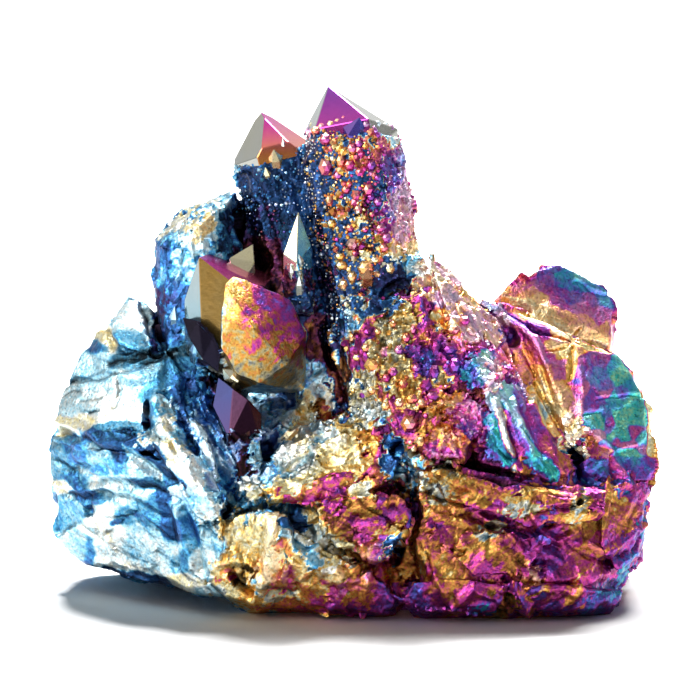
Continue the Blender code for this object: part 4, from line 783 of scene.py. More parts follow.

# The film on a point's faces: the way a face looks, the thickness at its top and foot, and its paleness. That
# paleness is partly the film's own and partly painted light and shade, set for the way each face turns.
FACE_FILM = {
    "tower_tip": [
        ((-0.9, -0.3, 0.3), 56, 57, -40), ((0, -0.8, 0.6), 82.5, 75, 5), ((0.8, -0.1, 0.6), 57, 58, -50),
    ],
    "twin": [
        ((-0.9, -0.3, 0.2), 58.5, 57, -48), ((0.1, -0.8, 0.5), 79, 64, 2),
        ((0.9, -0.1, 0.5), 77.5, 66, -16),
    ],
    "front_prism": [
        ((-0.86, -0.5, 0.1), 56, 52, -40), ((-0.42, -0.9, 0.1), 66, 65.5, -42),
        ((0.4, -0.1, 0.9), 77.5, 70, 5), ((0.75, -0.6, 0), 36, 36, -60),
    ],
    "pale_point": [((-0.4, -0.8, 0.3), 60.5, 58.5, -12), ((0.7, -0.7, 0.3), 50, 46, -10)],
    "blade": [((0, -0.7, 0.3), 61, 60, -12)],
    "violet_point": [
        ((-0.4, -0.8, 0.45), 32.5, 28, -72), ((-0.12, -0.93, 0.33), 25, 22, -78),
        ((0.6, -0.7, 0.35), 22, 20, -78), ((0, -1, -0.1), 20, 20, -84),
    ],
    "dark_plate": [((0, -0.7, 0.5), 28, 31, -88)],
    # The plug's face is painted near black: painted shade.
    "dark_seam": [((0, -1, 0), 26, 24, -88)],
}
PLAIN_FACES = [
    ((0, 1, 0.3), 80, 70, 0), ((1, 0.5, 0.2), 92, 84, 0), ((-1, 0.4, 0.3), 47, 56, 10),
]


def cut_through(form, place, normal, clear=False):
    """Cuts a form by a plane, and clears what is beyond it if asked. Returns the edges along the cut."""
    everything = form.verts[:] + form.edges[:] + form.faces[:]
    cut = bmesh.ops.bisect_plane(form, geom=everything, plane_co=place, plane_no=normal, clear_outer=clear)
    return [item for item in cut["geom_cut"] if isinstance(item, bmesh.types.BMEdge)]


def keep_below(form, place, normal):
    """The part of a closed form that lies behind a plane, with the cut closed by a flat face."""
    rim = cut_through(form, place, normal, clear=True)
    if rim:
        bmesh.ops.contextual_create(form, geom=rim)


def upright(way):
    """The turn that stands a form's z axis along a direction."""
    return way.to_track_quat("Z", "Y").to_matrix().to_4x4()


def quartz_point(foot, tip, width, turn, lifts, bare):
    """The bare end of a hexagonal prism under six tip faces."""
    foot, tip = Vector(foot), Vector(tip)
    length = (tip - foot).length
    form = bmesh.new()
    bmesh.ops.create_cube(form, size=2.0 * length)
    bmesh.ops.translate(form, verts=form.verts, vec=(0.0, 0.0, length))
    for side, lift in enumerate(lifts):
        angle = math.radians(turn) + side * math.tau / PRISM_SIDES
        outward = Vector((math.cos(angle), math.sin(angle), 0.0))
        keep_below(form, outward * width / 2.0, outward)
        level = math.sin(TIP_FACE_ANGLE)
        outward = Vector((level * math.cos(angle), level * math.sin(angle), math.cos(TIP_FACE_ANGLE)))
        keep_below(form, Vector((0.0, 0.0, length)) + outward * lift, outward)
    keep_below(form, Vector((0.0, 0.0, length - bare)), Vector((0.0, 0.0, -1.0)))
    bmesh.ops.transform(form, matrix=Matrix.Translation(foot) @ upright(tip - foot), verts=form.verts)
    return form


def convex_form(corners):
    """The convex hull of some corners, its coplanar triangles joined."""
    form = bmesh.new()
    for corner in corners:
        form.verts.new(corner)
    hull = bmesh.ops.convex_hull(form, input=form.verts)
    spare = set(hull["geom_interior"]) | set(hull["geom_unused"])
    bmesh.ops.delete(form, geom=[item for item in spare if item.is_valid], context="VERTS")
    bmesh.ops.dissolve_limit(form, angle_limit=COPLANAR, verts=form.verts, edges=form.edges)
    return form


def planes_of(form):
    """Outward normals and distances of a convex form's faces."""
    bmesh.ops.recalc_face_normals(form, faces=form.faces)
    normals = np.array([face.normal for face in form.faces])
    places = np.array([face.verts[0].co for face in form.faces])
    return normals, (normals * places).sum(axis=1)


point_forms = {name: quartz_point(*sizes) for name, sizes in POINTS.items()}
point_forms.update({name: convex_form(corners) for name, corners in CUT_POINTS.items()})
point_planes = {name: planes_of(form) for name, form in point_forms.items()}
point_middles = {
    name: np.mean([vert.co for vert in form.verts], axis=0) for name, form in point_forms.items()
}
for name, (height, rise) in HIDDEN_BELOW.items():
    place = Vector((point_middles[name][0], 0.0, height - UNEVEN_EDGE))
    keep_below(point_forms[name], place, Vector((rise, 0.0, -1.0)).normalized())

# ------ mesh helpers
SAME_PLACE = 1e-6


def rows_of(items, name, width, kind=np.float32):
    """One property of each of a mesh's items, as rows of numbers."""
    values = np.empty(len(items) * width, kind)
    items.foreach_get(name, values)
    return values.reshape(-1, width)


def arrays_of(mesh):
    """A mesh's vertices in mm and its vertex normals."""
    places, normals = (rows_of(mesh.vertices, name, 3).astype(float) for name in ("co", "normal"))
    return places / MM, normals


def place_vertices(mesh, points):
    """Moves a mesh's vertices to points in mm."""
    mesh.vertices.foreach_set("co", (points * MM).astype(np.float32).ravel())
    mesh.update()


def spread_over(mesh, values, rounds):
    """Values of a mesh's vertices, evened out with their neighbours'."""
    ends = rows_of(mesh.edges, "vertices", 2, np.int32)
    count = np.bincount(ends.ravel(), minlength=len(values)).astype(float)
    for _ in range(rounds):
        total = np.stack([
            np.bincount(ends[:, 0], weights=values[ends[:, 1], k], minlength=len(values))
            + np.bincount(ends[:, 1], weights=values[ends[:, 0], k], minlength=len(values))
            for k in range(values.shape[1])
        ], axis=1)
        values = 0.5 * values + 0.5 * total / count[:, None]
    return values


def mesh_of(form, name):
    """A finished form as a mesh. The form is freed."""
    mesh = bpy.data.meshes.new(name)
    form.to_mesh(mesh)
    form.free()
    return mesh


def object_of(name, data):
    """A mesh, a camera or a light as an object in the scene."""
    obj = bpy.data.objects.new(name, data)
    bpy.context.scene.collection.objects.link(obj)
    return obj


def merged_copy(node, name):
    """A copy of a CAD node's mesh as an object of its own, with its loose triangles joined."""
    form = bmesh.new()
    form.from_mesh(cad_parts[node].data)
    bmesh.ops.remove_doubles(form, verts=form.verts, dist=SAME_PLACE)
    bmesh.ops.recalc_face_normals(form, faces=form.faces)
    return object_of(name, mesh_of(form, name))


def keep_modifiers_result(obj):
    """Makes the modifiers' result the object's own mesh, and removes them."""
    graph = bpy.context.evaluated_depsgraph_get()
    made = bpy.data.meshes.new_from_object(obj.evaluated_get(graph), depsgraph=graph)
    obj.modifiers.clear()
    obj.data = made
    made.name = obj.name


def coat_attribute(mesh, domain, film, pale, shade):
    """Stores the film's thickness, paleness and shade on the mesh for its material."""
    layer = mesh.attributes.new("coat", "FLOAT_VECTOR", domain)
    layer.data.foreach_set("vector", np.stack([film, pale, shade], axis=1).astype(np.float32).ravel())


PALEST, DARKEST, SHADE_CURVE = 0.85, 0.03, 1.3


def pale_and_shade(light):
    """Paleness above 0 mixes towards white, partly painted highlight. Darkness below 0 takes light away,
    partly painted shade.
    """
    shade = np.clip(1.0 + np.minimum(light, 0.0), DARKEST, 1.0) ** SHADE_CURVE
    return np.clip(light, 0.0, 1.0) * PALEST, shade


# ------ materials


def linear(hex_colour):
    """An sRGB hex colour as linear values with full alpha, by the sRGB standard's own curve."""
    channels = [int(hex_colour[k:k + 2], 16) / 255.0 for k in (0, 2, 4)]
    return [c / 12.92 if c <= 0.04045 else ((c + 0.055) / 1.055) ** 2.4 for c in channels] + [1.0]


def add(tree, kind, links=None, **settings):
    """A node with its settings, and its inputs set to values or linked from other nodes' outputs."""
    node = tree.nodes.new(kind)
    for name, value in settings.items():
        setattr(node, name, value)
    for name, value in (links or {}).items():
        if isinstance(value, bpy.types.NodeSocket):
            tree.links.new(value, node.inputs[name])
        else:
            node.inputs[name].default_value = value
    return node


def worked(tree, operation, *values):
    """The result of a Math node."""
    return add(tree, "ShaderNodeMath", dict(enumerate(values)), operation=operation).outputs[0]


def ramp_of(tree, value, stops):
    """A colour ramp over a value, by stops of (place, colour)."""
    ramp = add(tree, "ShaderNodeValToRGB", {"Fac": value})
    made = ramp.color_ramp.elements
    made[0].position, made[0].color = stops[0]
    made[1].position, made[1].color = stops[-1]
    for place, colour in stops[1:-1]:
        made.new(place).color = colour
    return ramp.outputs["Color"]


# A painted sheen: a little white is mixed into every film's colour, whatever the film, for the white light
# that faces scatter off their finest roughness.
PAINTED_SHEEN, SHEEN_WHITE = 0.04, "F0EEEA"
VEIN_DETAIL, GRAIN_DETAIL = 3.0, 4.0
PIT_RANGE = (0.3, 0.52)
SMOOTHEST, ROUGHEST = 0.7, 1.4


def film_material(name, roughness, vein_size, vein_film, bump_size, bump_height, metallic, pit_shade):
    """An opaque titanium film: metallic, in interference colours that wander over vein_size.

    The grain, bump_size across, lifts the surface by up to bump_height, and its pits are darkened by the
    share given last: a painted shade.
    """
    material = bpy.data.materials.new(name)
    material.use_nodes = True
    tree = material.node_tree
    shader = tree.nodes["Principled BSDF"]
    place = add(tree, "ShaderNodeTexCoord").outputs["Object"]
    coat = add(tree, "ShaderNodeAttribute", attribute_name="coat").outputs["Vector"]
    stored = add(tree, "ShaderNodeSeparateXYZ", {"Vector": coat}).outputs
    film, pale, shade = stored["X"], stored["Y"], stored["Z"]
    veins = add(tree, "ShaderNodeTexNoise", {
        "Vector": place, "Scale": 1.0 / (vein_size * MM), "Detail": VEIN_DETAIL,
    })
    wander = worked(tree, "SUBTRACT", veins.outputs["Fac"], 0.5)
    thickness = worked(tree, "MULTIPLY_ADD", wander, vein_film, film)
    stops = [(stop, linear(hex_colour)) for stop, hex_colour in FILM_COLOURS]
    colour = ramp_of(tree, thickness, stops)
    # Paleness, partly painted highlight, and the painted sheen mix the colour towards white.
    whitened = worked(tree, "MAXIMUM", pale, PAINTED_SHEEN)
    # Sockets 6 and 7 are the Mix node's two colours, and output 2 is the mixed one.
    mixed = {"Factor": whitened, 6: colour, 7: linear(SHEEN_WHITE)}
    paled = add(tree, "ShaderNodeMix", mixed, data_type="RGBA")
    grain = add(tree, "ShaderNodeTexNoise", {
        "Vector": place, "Scale": 1.0 / (bump_size * MM), "Detail": GRAIN_DETAIL,
    })
    # Painted shade in the pits: where the grain is lowest the colour is darkened.
    pits = add(tree, "ShaderNodeMapRange", {
        "Value": grain.outputs["Fac"], "From Min": PIT_RANGE[0], "From Max": PIT_RANGE[1],
        "To Min": 1.0 - pit_shade, "To Max": 1.0,
    })
    # The coat's shade and the pits' shade, both partly or wholly painted, darken the colour.
    lit = worked(tree, "MULTIPLY", shade, pits.outputs[0])
    dark = add(tree, "ShaderNodeVectorMath", {0: paled.outputs[2], "Scale": lit}, operation="SCALE")
    tree.links.new(dark.outputs[0], shader.inputs["Base Color"])
    bump = add(tree, "ShaderNodeBump", {
        "Height": grain.outputs["Fac"], "Distance": bump_height * MM, "Strength": 1.0,
    })
    tree.links.new(bump.outputs[0], shader.inputs["Normal"])
    rough = add(tree, "ShaderNodeMapRange", {
        "Value": grain.outputs["Fac"], "To Min": roughness * SMOOTHEST, "To Max": roughness * ROUGHEST,
    })
    tree.links.new(rough.outputs[0], shader.inputs["Roughness"])
    shader.inputs["Metallic"].default_value = metallic
    return material


# Titanium laid down as vapour on broken quartz. The break is sugary, so the film glitters from satin grains a
# third of a millimetre across, its colour changes from grain to grain, and the pits between them are painted
# dark, a painted shade.
ROCK_FILM = film_material(
    "titanium film on broken quartz", roughness=0.30, vein_size=0.40, vein_film=0.12,
    bump_size=0.33, bump_height=0.11, metallic=0.92, pit_shade=0.45,
)
# The same film on faces that grew flat. It is glossy and even in colour, with faint growth ripples, and thin
# enough there for some of the quartz's own white gloss to show.
FACE_COAT = film_material(
    "titanium film on smooth crystal faces", roughness=0.18, vein_size=2.5, vein_film=0.02,
    bump_size=0.6, bump_height=0.01, metallic=0.8, pit_shade=0.05,
)
# The same film on druse, a crust of small crystals. Each face is a small mirror, a little frosted.
DRUSE_FILM = film_material(
    "titanium film on druse", roughness=0.27, vein_size=0.5, vein_film=0.03,
    bump_size=0.3, bump_height=0.02, metallic=0.9, pit_shade=0.1,
)


def put_on_frame(obj):
    """A finished piece rides on the one body, in place of the plain solid."""
    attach(obj, "root")
    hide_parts(CLUSTER)


# ------ the broken rock
ROCK_VOXEL = 0.22
# Upright cuts, by their place across, keep each slab of the rock under 200,000 triangles.
ROCK_CUTS = (-24.0, -14.5, -6.0, 3.0, 14.0, 26.0)
# The relief fades in over KEEP_FLAT above the flat underside. Close to a clean point the rock is tucked in
# under its faces by up to CRYSTAL_GAP.
RELIEF_GAIN, KEEP_FLAT, CRYSTAL_GAP = 1.15, 1.2, 0.35
# A region that has less than this share of a place leaves no relief there.
LEAST_SHARE = 0.02
# The edge where rock or druse ends and a clean face begins is uneven, in waves, and slants.
EDGE_WAVES, EDGE_CHANNEL, EDGE_SLANT = 2.4, 4101, 0.8
NOT_HIDDEN = (-1e3, 0.0)


def clear_of_points(points):
    """Signed distance from the nearest clean point's bare faces, negative inside, and the way out of it."""
    nearest = np.full(len(points), FAR_AWAY)
    way = np.zeros((len(points), 3))
    uneven = UNEVEN_EDGE * layered(points, EDGE_WAVES, EDGE_CHANNEL)
    for name, (normals, levels) in point_planes.items():
        depth = points @ normals.T - levels
        face = depth.argmax(axis=1)
        outside = depth[np.arange(len(points)), face]
        hidden, rise = HIDDEN_BELOW.get(name, NOT_HIDDEN)
        below = hidden + rise * (points[:, 0] - point_middles[name][0]) + uneven - points[:, 2]
        outside = np.maximum(outside, EDGE_SLANT * below)
        closer = outside < nearest
        nearest = np.where(closer, outside, nearest)
        way[closer] = normals[face[closer]]
    return nearest, way


# Each layer of chips has its own channel. A chip stands out by its slope and its bowl. A finer layer shifts
# the film's colour less, and a chip's edge shifts it the other way.
RELIEF_CHANNEL, REGION_STEP, LAYER_STEP = 1000, 50, 17
SLOPE_HEIGHT, BOWL_HEIGHT = 0.9, 0.35
FINER_TONE, EDGE_TONE = 0.7, 0.7
LINE_WANDER, LINE_SIZE, LINE_CHANNELS, LINE_TURNS = 0.4, 2.2, (71, 81, 91), (-0.1, 0.25)
HOLLOW_RIM, HOLLOW_FLOOR = 1.15, 0.35
FINE_RELIEF = (0.05, 0.9, 401)


def relief_of(points, normals, shares):
    """How far each point stands out, by chips, crests, cracks and hollows, and its tone."""
    height, tones = np.zeros(len(points)), np.zeros(len(points))
    for number, (region, layers) in enumerate(RELIEF.items()):
        here = np.flatnonzero(shares[region] > LEAST_SHARE)
        for depth, (size, amount, along, stretch) in enumerate(layers):
            channel = RELIEF_CHANNEL + REGION_STEP * number + LAYER_STEP * depth
            slope, bowl, lean, edge = chips(points[here], size, channel, along, stretch)
            tones[here] += shares[region][here] * FINER_TONE**depth * (lean[0] - EDGE_TONE * edge)
            stands_out = SLOPE_HEIGHT * slope + BOWL_HEIGHT * bowl
            height[here] += shares[region][here] * RELIEF_GAIN * amount * stands_out
    spots = on_front(bent(points, LINE_WANDER, LINE_SIZE, LINE_CHANNELS, two_layers))
    facing = smooth_step(*LINE_TURNS, normals @ TO_FRONT)
    for amount, width, *line in LINES:
        low, high = np.min(line, axis=0) - width, np.max(line, axis=0) + width
        near = np.flatnonzero(((spots > low) & (spots < high)).all(axis=1))
        rise = np.clip(1.0 - from_line(spots[near], line) / width, 0.0, 1.0)
        height[near] += facing[near] * amount * rise
    for across, up, half_length, half_width, turn, depth in HOLLOWS:
        away = in_ellipse(spots, across, up, half_length, half_width, turn)
        height -= facing * depth * smooth_step(HOLLOW_RIM, HOLLOW_FLOOR, away)
    amount, size, channel = FINE_RELIEF
    return height + amount * layered(points, size, channel), tones


STREAK_WIDTH, STREAK_STRETCH, STREAK_CHANNEL, STREAK_STEP = 1.0, 1.6, 5000, 40


def streaks_of(points, shares):
    """Streaks in the film along each region's grain, -1 to 1."""
    streaks = np.zeros(len(points))
    for number, (region, layers) in enumerate(RELIEF.items()):
        here = np.flatnonzero(shares[region] > LEAST_SHARE)
        _, _, along, stretch = layers[0]
        drawn = points[here] @ grain_axes(along) / np.array([STREAK_STRETCH * stretch, 1.0, 1.0])
        pattern = layered(drawn, STREAK_WIDTH, STREAK_CHANNEL + STREAK_STEP * number)
        streaks[here] += shares[region][here] * pattern
    return streaks


# The rock stands out along its normals, evened out over this many rounds.
NORMAL_ROUNDS = 8
# Gaps to the nearest point, in mm: the rock gets its relief between the first two, and is tucked under that
# point up to the last.
RELIEF_STARTS, RELIEF_FULL, TUCK_ENDS = 0.15, 0.9, 0.5


def shape_rock(rock):
    """Breaks the skin into chips with crests and cracks, and tucks it under the clean points."""
    skin = rock.modifiers.new("even skin", "REMESH")
    skin.mode = "VOXEL"
    skin.voxel_size = ROCK_VOXEL * MM
    keep_modifiers_result(rock)
    points, normals = arrays_of(rock.data)
    normals = spread_over(rock.data, normals, NORMAL_ROUNDS)
    normals /= np.linalg.norm(normals, axis=1)[:, None]
    shares, film = region_shares(points, normals)
    gap, way = clear_of_points(points)
    free = smooth_step(RELIEF_STARTS, RELIEF_FULL, gap)
    foot = smooth_step(0.0, KEEP_FLAT, points[:, 2])
    height, tones = relief_of(points, normals, shares)
    height *= free * foot
    points = points + normals * height[:, None]
    tucked = np.clip(CRYSTAL_GAP + np.minimum(gap, 0.0), 0.0, CRYSTAL_GAP)
    tucked = tucked * (1.0 - smooth_step(0.0, TUCK_ENDS, gap))
    points -= way * tucked[:, None]
    points[:, 2] = np.maximum(points[:, 2], 0.0)
    place_vertices(rock.data, points)
    return normals, film, tones, streaks_of(points, shares)


# Where druse covers the front, as outlines. It also goes round the coats of the two tall points.
DRUSE = {
    "tower_left": [(-6.9, 60.2), (-5, 60.8), (-3.4, 58.6), (-2.9, 52), (-2.1, 45.3), (-1.8, 38.6),
        (-1.5, 32.6), (-2.9, 33.3), (-4.5, 39.9), (-6.1, 49.9), (-6.9, 57.3)],
    "tower_front": [(-5, 60.8), (-0.2, 62.4), (4.1, 60), (4.9, 52), (5.4, 45.9), (5.1, 42.6), (1.8, 38.6),
        (-0.9, 34.6), (-1.8, 38.6), (-2.6, 47.9), (-3.4, 58.6)],
    "tower_right": [(2.7, 62.1), (5.9, 61.2), (7.8, 58.6), (8.6, 49.9), (10.5, 45.3), (11.8, 41.9),
        (7.8, 42.9), (5.4, 45.3), (4.9, 52), (4.1, 58.6)],
    "twin": [(-15.2, 56.6), (-12, 57.6), (-6.9, 60.5), (-6.3, 52), (-5.3, 45.3), (-6.9, 43.7), (-9.5, 46.6),
        (-13.6, 47.3), (-15.2, 49.9)],
    "twin_foot": [(-8.9, 43.7), (-5.3, 45.3), (-2.9, 38.6), (-1.8, 33.3), (-3.5, 32.6), (-6.9, 37.9)],
    "slope_foot": [(-0.9, 33.3), (3.1, 37.9), (7.8, 41.9), (10.5, 38.6), (11.6, 34.6), (13.8, 30.6),
        (16.9, 26.3), (15.8, 21.2), (11.8, 18.8), (8.1, 19.2), (4.5, 21), (-0.2, 24.6)],
    "slope": [(9.7, 44.6), (12.5, 41.5), (17.2, 38.6), (19.8, 37), (21.4, 32.6), (23, 26.8), (22.5, 25.2),
        (18.5, 25), (15.8, 27.9), (13.8, 31.9), (11.8, 35.7), (10.5, 39.3)],
    "slope_lower": [(11.8, 25.2), (15.8, 27.2), (18.5, 25), (18.8, 19.9), (17.2, 18.6), (11.8, 18.6),
        (9.8, 19.9)],
    "cleft": [(4.3, 19.9), (6.5, 19.9), (10.5, 15.9), (10.2, 13), (7.8, 11.9), (5.1, 13.8), (4.3, 17)],
    "cream_druse": [(27.8, 23.2), (30.8, 23.2), (32.1, 19.9), (31.1, 17.8), (27.8, 18.6)],
}
# How densely druse stands in each zone, how large its crystals are, and how much painted shade it leaves on
# the ground between them.
DRUSE_KINDS = {
    "tower_left": (0.6, 0.6, 0.8), "tower_front": (0.62, 0.9, 0.6), "tower_right": (0.1, 0.7, 0.1),
    "twin": (0.55, 0.6, 0.7), "twin_foot": (0.45, 0.6, 0.6), "slope": (0.03, 0.8, 0.05),
    "slope_lower": (0.04, 0.75, 0.05), "slope_foot": (0.12, 0.75, 0.3), "cleft": (0.08, 0.8, 0.3),
    "cream_druse": (0.5, 1.5, 0.3),
}
DRUSE_GRAIN = 0.62
DRUSE_WANDER, DRUSE_WAVES, DRUSE_CHANNELS = 0.5, 1.8, (81, 82, 83)
# The druse's clearance from clean faces, the gap from them at which the painted shade on the ground under it
# is full, and its patches of size.
DRUSE_GAP, SHADED_GROUND_GAP = 0.2, 0.4
SIZE_PATCHES = (0.35, 3.0, 4001)
# The two tall points by their corners. Behind the front, druse covers them to this depth, this densely.
COAT_DEPTH, COAT_DENSITY, COAT_SIZE = 1.5, 0.5, 0.8
COATS = {
    "tower": [
        (-6.9, 4.5, 59), (-4.7, -1, 60.8), (3, -2.3, 62), (6.7, 3.3, 60), (4.3, 10.5, 58), (-3.5, 11.3, 58),
        (1, -6, 26), (4.4, -12, 26), (11, -12, 26), (13.4, -6, 26), (10.5, 0.4, 26), (4.4, 0.4, 26),
    ],
    "twin": [
        (-15.4, 8.5, 55), (-13.2, 3.6, 54.8), (-7.6, 3.4, 56.5), (-5.4, 8, 56), (-7.6, 13, 54),
        (-13, 13, 53), (-7.5, -1, 30), (-5, -5.5, 30), (0.5, -6, 30), (3, -1, 30), (0.5, 5, 30),
        (-5, 5, 30),
    ],
}


def druse_density(points, normals):
    """How densely druse covers each point, its crystals' size, and how much painted shade darkens the ground
    there.
    """
    spots = on_front(bent(points, DRUSE_WANDER, DRUSE_WAVES, DRUSE_CHANNELS))
    facing = normals @ TO_FRONT > 0.0
    density, size, ground = np.zeros(len(points)), np.ones(len(points)), np.zeros(len(points))
    for zone, outline in DRUSE.items():
        within = inside(spots, outline) & facing
        density[within], size[within], ground[within] = DRUSE_KINDS[zone]
    for corners in COATS.values():
        form = convex_form(corners)
        coat_normals, levels = planes_of(form)
        form.free()
        around = ((points @ coat_normals.T - levels).max(axis=1) < COAT_DEPTH) & ~facing
        density[around] = COAT_DENSITY
        size[around] = COAT_SIZE
    gap, _ = clear_of_points(points)
    density[gap < DRUSE_GAP] = 0.0
    amount, patch, channel = SIZE_PATCHES
    size = size * (1.0 + amount * layered(points, patch, channel))
    return density, size, ground * np.clip(gap / SHADED_GROUND_GAP, 0.0, 1.0)


# The ground under druse is painted darker, a painted shade between the crystals, and its film is navy in
# patches.
GROUND_FILM, GROUND_SHADE, GROUND_STREAKS = 0.39, -0.56, 0.03
NAVY_FROM, NAVY_PATCHES = 0.55, (0.45, 1.6, 3201)
# How much of a region's variation comes from its chips, the finest chips' lean, and its streaks.
TONE_SHARE, FINE_SHARE, STREAK_SHARE = 0.45, 0.3, 0.9
FINE_CHIPS = (0.7, 3101, DOWN_RIGHT, 1.4)
# The film is thicker on faces that look this way, where the vapour came from.
VAPOUR_WAY, VAPOUR_FILM, VAPOUR_LEVEL = np.array([0.7, -0.2, 0.6]), 0.03, 0.015
# Cracks, found by smoothing the skin this many rounds, and the depth in mm that counts as a full crack.
CRACKS = ((2, 0.035), (14, 0.2))
# Streaks pale the film a little. Cracks are painted darker, a painted shade, and crests paler, a painted
# highlight.
STREAK_LIGHT, CRACK_SHADE, CREST_HIGHLIGHT = 0.10, 0.20, 0.05
SLAB_SHARP = math.radians(40.0)


def depth_of(mesh, points, normals):
    """How far down in cracks each point is: 1 for each kind that it is fully in, and below 0 on a crest."""
    near, far = (
        np.clip(((spread_over(mesh, points, rounds) - points) * normals).sum(axis=1) / full, -1.0, 1.0)
        for rounds, full in CRACKS
    )
    return near + far


def coat_rock(mesh, outward, film_there, tones, streaks):
    """The film over the rock: by region, by chip, with painted shade in the cracks and under the druse and a
    painted highlight on the crests.
    """
    points, normals = arrays_of(mesh)
    film, spread, light = film_there
    _, _, fine_lean, _ = chips(points, *FINE_CHIPS)
    film = film + spread * (TONE_SHARE * tones + FINE_SHARE * fine_lean[0] + STREAK_SHARE * streaks)
    _, _, ground = druse_density(points, outward)
    # Painted shade: the ground between the druse crystals is darkened.
    light = light + (GROUND_SHADE - light) * ground
    amount, size, channel = NAVY_PATCHES
    navy = ground + amount * layered(points, size, channel) > NAVY_FROM
    film = np.where(navy, GROUND_FILM + GROUND_STREAKS * streaks, film)
    film += VAPOUR_FILM * normals @ VAPOUR_WAY - VAPOUR_LEVEL
    deep = depth_of(mesh, points, normals)
    light = light + STREAK_LIGHT * streaks
    # Painted shade in the cracks and a painted highlight on the crests.
    light = light - CRACK_SHADE * np.clip(deep, 0.0, 2.0) + CREST_HIGHLIGHT * np.clip(-deep, 0.0, 2.0)
    pale, shade = pale_and_shade(light)
    coat_attribute(mesh, "POINT", np.clip(film, 0.0, 1.0), pale, shade)
    mesh.materials.clear()
    mesh.materials.append(ROCK_FILM)
    mesh.polygons.foreach_set("use_smooth", np.ones(len(mesh.polygons), bool))


def slab_of(mesh, name, low, high):
    """The part of the rock between two upright cuts, closed where it is cut."""
    form = bmesh.new()
    form.from_mesh(mesh)
    for level, facing in ((low, -1.0), (high, 1.0)):
        if level is None:
            continue
        way = Vector((facing, 0.0, 0.0))
        rim = cut_through(form, Vector((level * MM, 0.0, 0.0)), way, clear=True)
        bmesh.ops.triangle_fill(form, edges=rim, use_beauty=False, normal=way)
    bmesh.ops.recalc_face_normals(form, faces=form.faces)
    slab = mesh_of(form, name)
    slab.materials.append(ROCK_FILM)
    slab.set_sharp_from_angle(angle=SLAB_SHARP)
    return object_of(name, slab)


rock = merged_copy(CLUSTER, "rock_skin")
outward, *rock_film = shape_rock(rock)
coat_rock(rock.data, outward, *rock_film)
cuts = (None,) + ROCK_CUTS + (None,)
for number, (low, high) in enumerate(zip(cuts[:-1], cuts[1:]), 1):
    put_on_frame(slab_of(rock.data, f"broken_rock_{number}", low, high))

# ------ clean points as pieces
# The film changes from a point's top down to this depth. Its faces are cut this small to show the change.
EDGE_BEVEL, FACE_CUT, TOP_DEPTH = 0.09, 0.45, 9.0
# One point is weathered. It is rough, as (height, size, channel), and its film is in blotches of two sizes.
MOTTLED = {"mottled_point": ["mottled point"]}
WEATHERED, WEATHERED_SHARP = (0.16, 1.0, 6061), math.radians(30.0)
BLOTCHES, FINE_BLOTCHES, FINE_BLOTCH_SHARE = (0.9, 6001), (0.4, 6031), 0.8
BLOTCH_FILM, BLOTCH_LIGHT = 0.06, 0.3


def film_on_face(name, normal):
    """The film of the listed face that looks most nearly the same way."""
    faces = FACE_FILM.get(name, PLAIN_FACES)
    best = max(faces, key=lambda face: Vector(face[0]).normalized().dot(normal))
    return [value / HUNDREDTHS for value in best[1:]]


def plain_films(name, form):
    """The film and paleness at each corner of each face of a point."""
    peak = max(vert.co.z for vert in form.verts)
    films = []
    for face in form.faces:
        top, foot, light = film_on_face(name, face.normal)
        for vert in face.verts:
            share = np.clip((peak - vert.co.z) / TOP_DEPTH, 0.0, 1.0)
            films.append((top + (foot - top) * share, light))
    return films


def mottled_films(name, form):
    """Roughens a weathered point, and gives its corners the film of its zones, in blotches."""
    amount, size, channel = WEATHERED
    lifts = amount * layered(np.array([vert.co for vert in form.verts]), size, channel)
    for vert, lift in zip(form.verts, lifts):
        vert.co += vert.normal * float(lift)
    places = np.array([vert.co for face in form.faces for vert in face.verts])
    facing = np.array([face.normal for face in form.faces for _ in face.verts])
    _, (film, spread, light) = region_shares(places, facing, MOTTLED[name])
    blotches = layered(places, *BLOTCHES) + FINE_BLOTCH_SHARE * swells(places, *FINE_BLOTCHES)
    return np.stack([film + (spread + BLOTCH_FILM) * blotches, light + BLOTCH_LIGHT * blotches], axis=1)


def clean_point(name, form):
    """A point as a closed mesh with fine bevels on its edges and the film of each face."""
    bmesh.ops.bevel(form, geom=form.edges[:], offset=EDGE_BEVEL, segments=1, affect="EDGES")
    bmesh.ops.recalc_face_normals(form, faces=form.faces)
    for axis in range(3):
        across = Vector([float(k == axis) for k in range(3)])
        reach = [vert.co[axis] for vert in form.verts]
        for level in np.arange(min(reach) + FACE_CUT / 2.0, max(reach), FACE_CUT):
            cut_through(form, across * level, across)
    form.normal_update()
    mottled = name in MOTTLED
    films = mottled_films(name, form) if mottled else plain_films(name, form)
    bmesh.ops.scale(form, vec=(MM, MM, MM), verts=form.verts)
    mesh = mesh_of(form, name)
    film, light = np.array(films).T
    pale, shade = pale_and_shade(light)
    coat_attribute(mesh, "CORNER", film, pale, shade)
    mesh.materials.append(ROCK_FILM if mottled else FACE_COAT)
    if mottled:
        mesh.shade_smooth()
        mesh.set_sharp_from_angle(angle=WEATHERED_SHARP)
    return object_of(name, mesh)


for name, form in point_forms.items():
    put_on_frame(clean_point(name, form))

